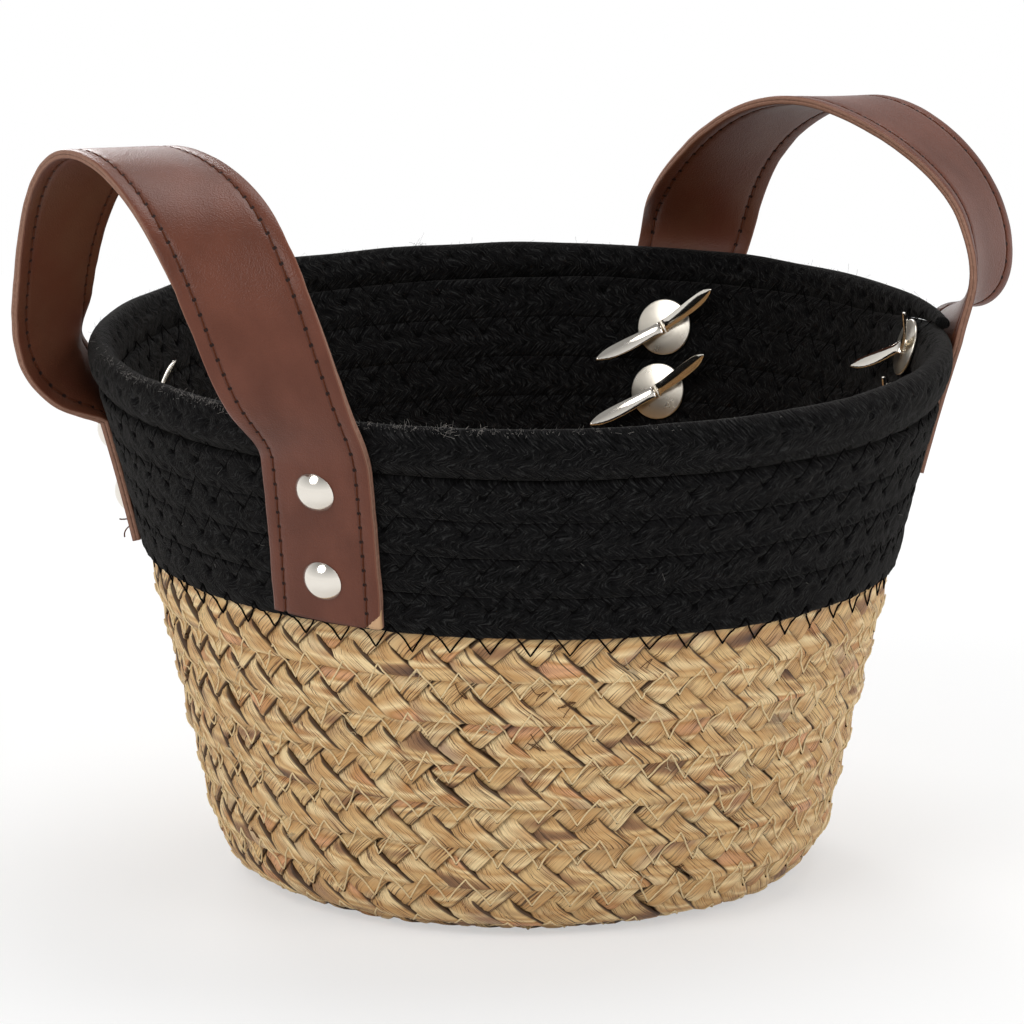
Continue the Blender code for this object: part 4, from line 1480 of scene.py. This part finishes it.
    def loose_ends(self) -> list[Array]:
        """Lay the ends of the sewing thread that stand off the last leg's foot."""
        share = np.linspace(0, 1, 9)
        top = self.leather + self.gap / 2
        runs = []
        for before, reach, droop in ((0.0053, 0.0020, -0.0004), (0.0034, 0.0019, 0.0027)):
            length = self.lengths[-1] - before + droop * share ** 1.5
            across = np.full(9, self.stitch_inset - self.width / 2) + 0.0004 * share
            runs.append(self.lay(length, across, top - 0.0004 + (reach + 0.0004) * np.sin(share * math.pi / 2)))
        return runs

    def settle(self, piece: bpy.types.Object) -> None:
        """Bake a piece of the strap's placement into its mesh."""
        radius, height = self.rim()
        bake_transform(piece)

    def build(self) -> None:
        """Make both layers and their stitches."""
        name = self.side.value
        steps = int(self.lengths[-1] / 0.001)
        finishes = {
            Face.OUTER: ("strap", "brown_leather", CoatedLeather(
                name=f"coated split leather {name}", bare_corner=self.side is Side.LEFT)),
            Face.INNER: ("lining", "brown_lining", CoatedLeather(
                name=f"leather lining {name}", colour="5A3524", roughness=0.5))}
        stretches = ("front_tab", "front_flex", "loop", "back_flex", "back_tab")
        for face, (layer, slot, finish) in finishes.items():
            sides, shape = self.layer_shape(face)
            mesh = swept_mesh(steps, sides, shape)
            piece = finish_piece(f"{name}_handle_{layer}", mesh, finish.material())
            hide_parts(*(f"{name}_{layer}_{stretch}" for stretch in stretches))
            self.settle(piece)
        thread = SewingThread(name=f"brown sewing thread {name}", colour="5A2E1A", gloss=0.1).material()
        runs = self.stitch_runs(Face.OUTER) + self.stitch_runs(Face.INNER)
        if self.side is Side.LEFT:
            runs += self.loose_ends()
        piece = finish_piece(f"{name}_handle_stitches", thread_mesh(runs, 0.00019), thread)
        self.settle(piece)


def knot_speeds(knots: Array, spans: Array, first: Array, last: Array) -> Array:
    """Return how fast a smoothly bending curve through knots changes at each, per length along it.

    Args:
        knots: the knots, one row each.
        spans: the lengths between them.
        first: the speed at the first knot.
        last: the speed at the last knot.

    Returns:
        The speeds, one row each.
    """
    count = len(knots)
    matrix = np.zeros((count, count))
    matrix[0, 0] = matrix[-1, -1] = 1.0
    known = np.zeros_like(knots)
    known[0], known[-1] = first, last
    for index in range(1, count - 1):
        before, after = spans[index - 1], spans[index]
        matrix[index, index - 1:index + 2] = (1 / before, 2 / before + 2 / after, 1 / after)
        known[index] = 3 * ((knots[index] - knots[index - 1]) / before ** 2
                            + (knots[index + 1] - knots[index]) / after ** 2)
    return np.linalg.solve(matrix, known)


def hermite(knots: Array, speeds: Array, index: int, span: float, share: Array) -> Array:
    """Return points of the cubic curve between one knot and the next.

    Args:
        knots: the knots.
        speeds: the speeds at the knots.
        index: the number of the knot before.
        span: the length to the next.
        share: shares of the way.

    Returns:
        The points, one row each.
    """
    square, cube = share ** 2, share ** 3
    return (knots[index] * (2 * cube - 3 * square + 1) + speeds[index] * span * (cube - 2 * square + share)
            + knots[index + 1] * (3 * square - 2 * cube) + speeds[index + 1] * span * (cube - square))


# The brads


@dataclass
class Brad:
    """A brad: a domed head, one folded strip whose ends are splayed inside, and a washer."""

    name: str
    place: Matrix
    head_radius: float = 0.00525
    head_height: float = 0.0029
    strap: float = 0.0024
    wall_depth: float = 0.0075
    gap: float = 0.0003
    prong_width: float = 0.0036
    prong_thickness: float = 0.0007
    prong_reach: float = 0.0185
    bend_radius: float = 0.0012
    rise: float = math.radians(20.0)
    washer_radius: float = 0.0075
    washer_thickness: float = 0.0008

    def depth(self) -> float:
        """Return how far the washer's outer face lies in from the strap's outer face."""
        return self.strap + self.wall_depth + 2 * self.gap

    def spun(self, outline: list[tuple[float, float]], steps: int = 56) -> bpy.types.Mesh:
        """Spin an outline about the brad's axis.

        Args:
            outline: radii and heights, from the axis round to the axis.
            steps: the steps of the turn.

        Returns:
            The closed mesh, in place.
        """
        build = bmesh.new()
        corners = [build.verts.new((radius, 0.0, height)) for radius, height in outline]
        edges = [build.edges.new(pair) for pair in zip(corners, corners[1:])]
        bmesh.ops.spin(build, geom=corners + edges, cent=(0, 0, 0), axis=(0, 0, 1), angle=2 * math.pi,
                       steps=steps, use_merge=True)
        bmesh.ops.remove_doubles(build, verts=build.verts, dist=2e-6)
        bmesh.ops.recalc_face_normals(build, faces=build.faces)
        bmesh.ops.transform(build, matrix=self.place, verts=build.verts)
        mesh = bpy.data.meshes.new(self.name)
        build.to_mesh(mesh)
        build.free()
        return mesh

    def head_outline(self) -> list[tuple[float, float]]:
        """Give the outline of the domed head, with its rolled edge."""
        crown = (self.head_radius ** 2 + self.head_height ** 2) / (2 * self.head_height)
        outline = []
        for step in range(17):
            radius = self.head_radius * math.sin(math.pi / 2 * step / 16)
            outline.append((radius, math.sqrt(crown ** 2 - radius ** 2) - crown + self.head_height + 0.00012))
        outline[0] = (0.0, outline[0][1])
        outline += [(self.head_radius + 0.00006, 0.00002), (self.head_radius - 0.0001, -0.0001),
                    (self.head_radius - 0.0007, 0.0001), (self.head_radius - 0.0014, 0.0005), (0.0, 0.0006)]
        return outline

    def washer_outline(self) -> list[tuple[float, float]]:
        """Give the outline of the washer, with its rounded edge."""
        top = -self.depth()
        low = top - self.washer_thickness
        edge = self.washer_radius
        return [(0.0, top), (edge - 0.0003, top), (edge - 0.00008, top - 0.0001), (edge, (top + low) / 2),
                (edge - 0.00008, low + 0.0001), (edge - 0.0003, low), (0.0033, low), (0.0029, low - 0.0001),
                (0.0, low - 0.00012)]

    def prong_path(self, side: float) -> tuple[Array, Array, Array]:
        """Trace one prong from the fold to its tip.

        Args:
            side: which way the prong is splayed.

        Returns:
            The path's points across and down, its direction angles and its width shares.
        """
        middle = (self.gap + self.prong_thickness) / 2
        bottom = -self.depth() - self.washer_thickness
        turn = math.pi / 2 - self.rise
        angles = np.concatenate([np.zeros(4), np.linspace(0, turn, 9)[1:], np.full(12, turn)])
        bend = np.linspace(0, turn, 9)[1:]
        x = [np.full(4, middle), middle + self.bend_radius * (1 - np.cos(bend))]
        z = [np.linspace(0.0004, bottom, 4), bottom - self.bend_radius * np.sin(bend)]
        shares = np.array([0.08, 0.16, 0.26, 0.38, 0.5, 0.62, 0.72, 0.80, 0.87, 0.93, 0.97, 1.0])
        bow = 0.0007 * np.sin(shares * math.pi)
        x.append(x[1][-1] + self.prong_reach * shares * math.cos(self.rise) + bow * math.sin(self.rise))
        z.append(z[1][-1] - self.prong_reach * shares * math.sin(self.rise) + bow * math.cos(self.rise))
        widths = np.concatenate([np.ones(4), np.linspace(1.0, 0.86, 8), np.array(
            [0.84, 0.86, 0.92, 0.97, 1.0, 0.98, 0.93, 0.84, 0.68, 0.46, 0.26, 0.10])])
        return np.stack([side * np.concatenate(x), np.concatenate(z)], -1), angles, widths

    def prong_mesh(self, side: float) -> bpy.types.Mesh:
        """Make one prong.

        Args:
            side: which way the prong is splayed.

        Returns:
            The closed mesh, in place.
        """
        path, angles, widths = self.prong_path(side)
        corner = 0.72
        ring = [(-1, -corner), (-1, corner), (-0.93, 1), (0.0, 1.12), (0.93, 1), (1, corner), (1, -corner),
                (0.93, -1), (0.0, -0.9), (-0.93, -1), (-1, -corner)]
        ring_array = np.array(ring)
        matrix = np.array(self.place)
        last = len(path) - 1

        def shape(share: Array, around: Array) -> tuple[Array, Array]:
            spot = np.round(share * last).astype(int)
            index = np.round(around * (len(ring) - 1)).astype(int)
            across = ring_array[index, 0] * self.prong_width / 2 * widths[spot]
            thick = ring_array[index, 1] * self.prong_thickness / 2
            x = path[spot, 0] - side * np.cos(angles[spot]) * thick
            z = path[spot, 1] - np.sin(angles[spot]) * thick
            local = np.stack([x, across, z, np.ones_like(x)], -1)
            laid = np.stack([share * self.prong_reach, across], -1)
            return (local @ matrix.T)[:, :3], laid

        return swept_mesh(last, len(ring) - 1, shape)

    def build(self, material: bpy.types.Material, dull: bpy.types.Material) -> None:
        """Make the head, the prongs and the washer.

        Args:
            material: the bright plating.
            dull: the washer's plainer plating.
        """
        head = finish_piece(f"{self.name}_head", self.spun(self.head_outline()), material)
        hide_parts(f"{self.name}_brad_head")
        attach(head, BODY)
        washer = finish_piece(f"{self.name}_disc", self.spun(self.washer_outline(), 40), dull)
        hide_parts(f"{self.name}_washer")
        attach(washer, BODY)
        for number, side in enumerate((1.0, -1.0), 1):
            prong = finish_piece(f"{self.name}_prong_{number}", self.prong_mesh(side), material)
            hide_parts(f"{self.name}_brad_prongs")
            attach(prong, BODY)


@dataclass
class Fastenings:
    """The brads of both straps."""

    straps: list[Strap]
    roll: float = math.radians(-35.0)

    def place(self, strap: Strap, name: str, share: float) -> Matrix:
        """Find a brad's place.

        Args:
            strap: the strap that it holds.
            name: the strap's leg.
            share: its place as a share of the braid's height.

        Returns:
            Its matrix: origin on the strap's face, +Z out, +X along the splay.
        """
        point, normal, tangent = strap.on_wall(name, share)
        origin = Vector(point + normal * (strap.gap / 2 + strap.leather))
        up, out = Vector(tangent), Vector(normal)
        across = up.cross(out).normalized()
        splay = across * math.cos(self.roll) + up * math.sin(self.roll)
        turn = Matrix((splay, out.cross(splay), out)).transposed().to_4x4()
        return Matrix.Translation(origin) @ turn

    def build(self) -> None:
        """Make every brad."""
        bright = PolishedNickel().material()
        dull = PolishedNickel(name="nickel plate, unpolished", roughness=0.28, colour="DCD5C8").material()
        for strap in self.straps:
            for name, leg in strap.legs.items():
                for row, share in (("lower", leg.lower), ("upper", leg.upper)):
                    title = f"{strap.side.value}_{name}_{row}"
                    Brad(title, self.place(strap, name, share)).build(bright, dull)


# The studio


@dataclass(frozen=True)
class Studio:
    """A pale floor, soft lamps, and the camera at the photograph's angle."""

    direction: float = math.radians(-124.0)
    elevation: float = math.radians(13.74)
    distance: float = 2.0
    target_height: float = 0.0919
    focal_pixels: float = 7781.0
    frame_pixels: float = 1024.0
    axis_pixels: float = 9.7
    sensor: float = 36.0

    def camera(self) -> None:
        """Set the camera."""
        data = bpy.data.cameras.new("view")
        data.sensor_width = self.sensor
        data.lens = self.focal_pixels / self.frame_pixels * self.sensor
        data.shift_x = -self.axis_pixels / self.frame_pixels
        data.clip_end = 100.0
        item = bpy.data.objects.new("view", data)
        bpy.context.scene.collection.objects.link(item)
        away = Vector((math.cos(self.direction) * math.cos(self.elevation),
                       math.sin(self.direction) * math.cos(self.elevation), math.sin(self.elevation)))
        item.location = Vector((0.0, 0.0, self.target_height)) + away * self.distance
        item.rotation_euler = away.to_track_quat("Z", "Y").to_euler()
        bpy.context.scene.camera = item

    def floor(self) -> None:
        """Lay the floor, white to the camera but for the soft shadow."""
        build = bmesh.new()
        bmesh.ops.create_circle(build, cap_ends=True, segments=96, radius=12.0)
        mesh = bpy.data.meshes.new("floor")
        build.to_mesh(mesh)
        build.free()
        material = bpy.data.materials.new("white paper")
        material.use_nodes = True
        tree = material.node_tree
        tree.nodes.remove(tree.nodes["Principled BSDF"])
        place = add_node(tree, "ShaderNodeTexCoord").outputs["Object"]
        far = add_node(tree, "ShaderNodeVectorMath", {"operation": "LENGTH"}, {0: place}).outputs["Value"]
        fade = add_node(tree, "ShaderNodeMapRange", {"From Min": 0.16, "From Max": 0.75, "To Min": 0.5,
                                                     "To Max": 1.0}, {"Value": far}).outputs[0]
        path = add_node(tree, "ShaderNodeLightPath")
        seen = calculate(tree, "MAXIMUM", path.outputs["Is Camera Ray"], calculate(
            tree, "MAXIMUM", path.outputs["Is Glossy Ray"], path.outputs["Is Transmission Ray"]))
        paper = add_node(tree, "ShaderNodeBsdfDiffuse", {"Color": grey(0.86)}).outputs[0]
        glow = add_node(tree, "ShaderNodeEmission", {"Color": grey(1.0), "Strength": 1.0}).outputs[0]
        mixed = add_node(tree, "ShaderNodeMixShader", links={
            0: calculate(tree, "MULTIPLY", seen, fade), 1: paper, 2: glow}).outputs[0]
        tree.links.new(mixed, tree.nodes["Material Output"].inputs["Surface"])
        mesh.materials.append(material)
        item = bpy.data.objects.new("floor", mesh)
        bpy.context.scene.collection.objects.link(item)

    def world(self) -> None:
        """Light from all round, white where the camera sees it."""
        world = bpy.data.worlds.new("studio")
        world.use_nodes = True
        tree = world.node_tree
        tree.nodes.clear()
        path = add_node(tree, "ShaderNodeLightPath")
        place = add_node(tree, "ShaderNodeTexCoord").outputs["Generated"]
        height = add_node(tree, "ShaderNodeSeparateXYZ", links={0: place}).outputs[2]
        level = add_node(tree, "ShaderNodeMapRange", {"From Min": 0.0, "From Max": 0.8, "To Min": 0.94,
                                                      "To Max": 0.32}, {"Value": height}).outputs[0]
        dim = add_node(tree, "ShaderNodeBackground", {"Color": grey(1.0)}, {"Strength": level}).outputs[0]
        white = add_node(tree, "ShaderNodeBackground", {"Color": grey(1.0), "Strength": 1.0}).outputs[0]
        mixed = add_node(tree, "ShaderNodeMixShader", links={
            0: path.outputs["Is Camera Ray"], 1: dim, 2: white}).outputs[0]
        add_node(tree, "ShaderNodeOutputWorld", links={0: mixed})
        bpy.context.scene.world = world

    def lamp(self, name: str, azimuth: float, height: float, distance: float, size: float, power: float) -> None:
        """Hang a soft lamp.

        Args:
            name: its name.
            azimuth: its direction, in degrees counter-clockwise from the camera's.
            height: its elevation, in degrees.
            distance: its distance from the basket.
            size: the width of its round face.
            power: its power in watts.
        """
        data = bpy.data.lights.new(name, "AREA")
        data.shape = "DISK"
        data.size = size
        data.energy = power
        item = bpy.data.objects.new(name, data)
        bpy.context.scene.collection.objects.link(item)
        turn, up = self.direction + math.radians(azimuth), math.radians(height)
        away = Vector((math.cos(turn) * math.cos(up), math.sin(turn) * math.cos(up), math.sin(up)))
        item.location = Vector((0.0, 0.0, 0.1)) + away * distance
        item.rotation_euler = away.to_track_quat("Z", "Y").to_euler()

    def build(self) -> None:
        """Make the studio."""
        bpy.context.scene.view_settings.view_transform = "Standard"
        self.camera()
        self.floor()
        self.world()
        self.lamp("overhead", 150.0, 72.0, 1.3, 1.0, 9.5)
        self.lamp("back", -162.0, 20.0, 1.6, 0.6, 8.5)
        self.lamp("front_left", -38.0, 38.0, 1.5, 0.9, 8.0)
        self.lamp("front_right", 55.0, 30.0, 1.6, 0.9, 5.0)


def make_straps(wall: Wall) -> list[Strap]:
    """Give both straps their shapes.

    Args:
        wall: the wall that they are fastened to.

    Returns:
        The left and the right strap.
    """
    left = {
        "front": Leg(19, 0.054, 0.257, 0.705, 0.821, (0.333, 0.071, -0.052), (0.354, -0.132, 0.757),
                     (0.74, 0.51), math.radians(3.7)),
        "back": Leg(13, 0.054, 0.230, 0.534, 0.632, (0.234, 0.066, -0.104), (0.331, -0.320, 0.378),
                    (0.74, 0.47))}
    right = {
        "back": Leg(3, 0.146, 0.350, 0.655, 0.775, (0.347, 0.030, -0.024), (0.061, -0.149, 0.360),
                    (0.94, 0.53)),
        "front": Leg(-2, 0.334, 0.537, 0.843, 0.945, (0.247, 0.062, -0.008), (0.338, -0.037, 0.408),
                     (0.61, 0.46))}
    return [Strap(Side.LEFT, wall, left, 0.0579, (0.405, -0.056), 0.05),
            Strap(Side.RIGHT, wall, right, 0.0493, (0.147, -0.102), -0.11)]


def main() -> None:
    """Dress the basket and set the studio."""
    logging.basicConfig(level=logging.INFO, format="%(message)s")
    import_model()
    Studio().build()
    wall = Wall()
    straw = StrawPlait(wall, wall.straw_turns)
    stalks = straw.build()
    cotton = CottonBraid(wall, wall.braid_turns)
    cotton.build(stalks)
    cotton.build_lint()
    straps = make_straps(wall)
    for strap in straps:
        strap.build()
    Fastenings(straps).build()


if __name__ == "__main__":
    main()
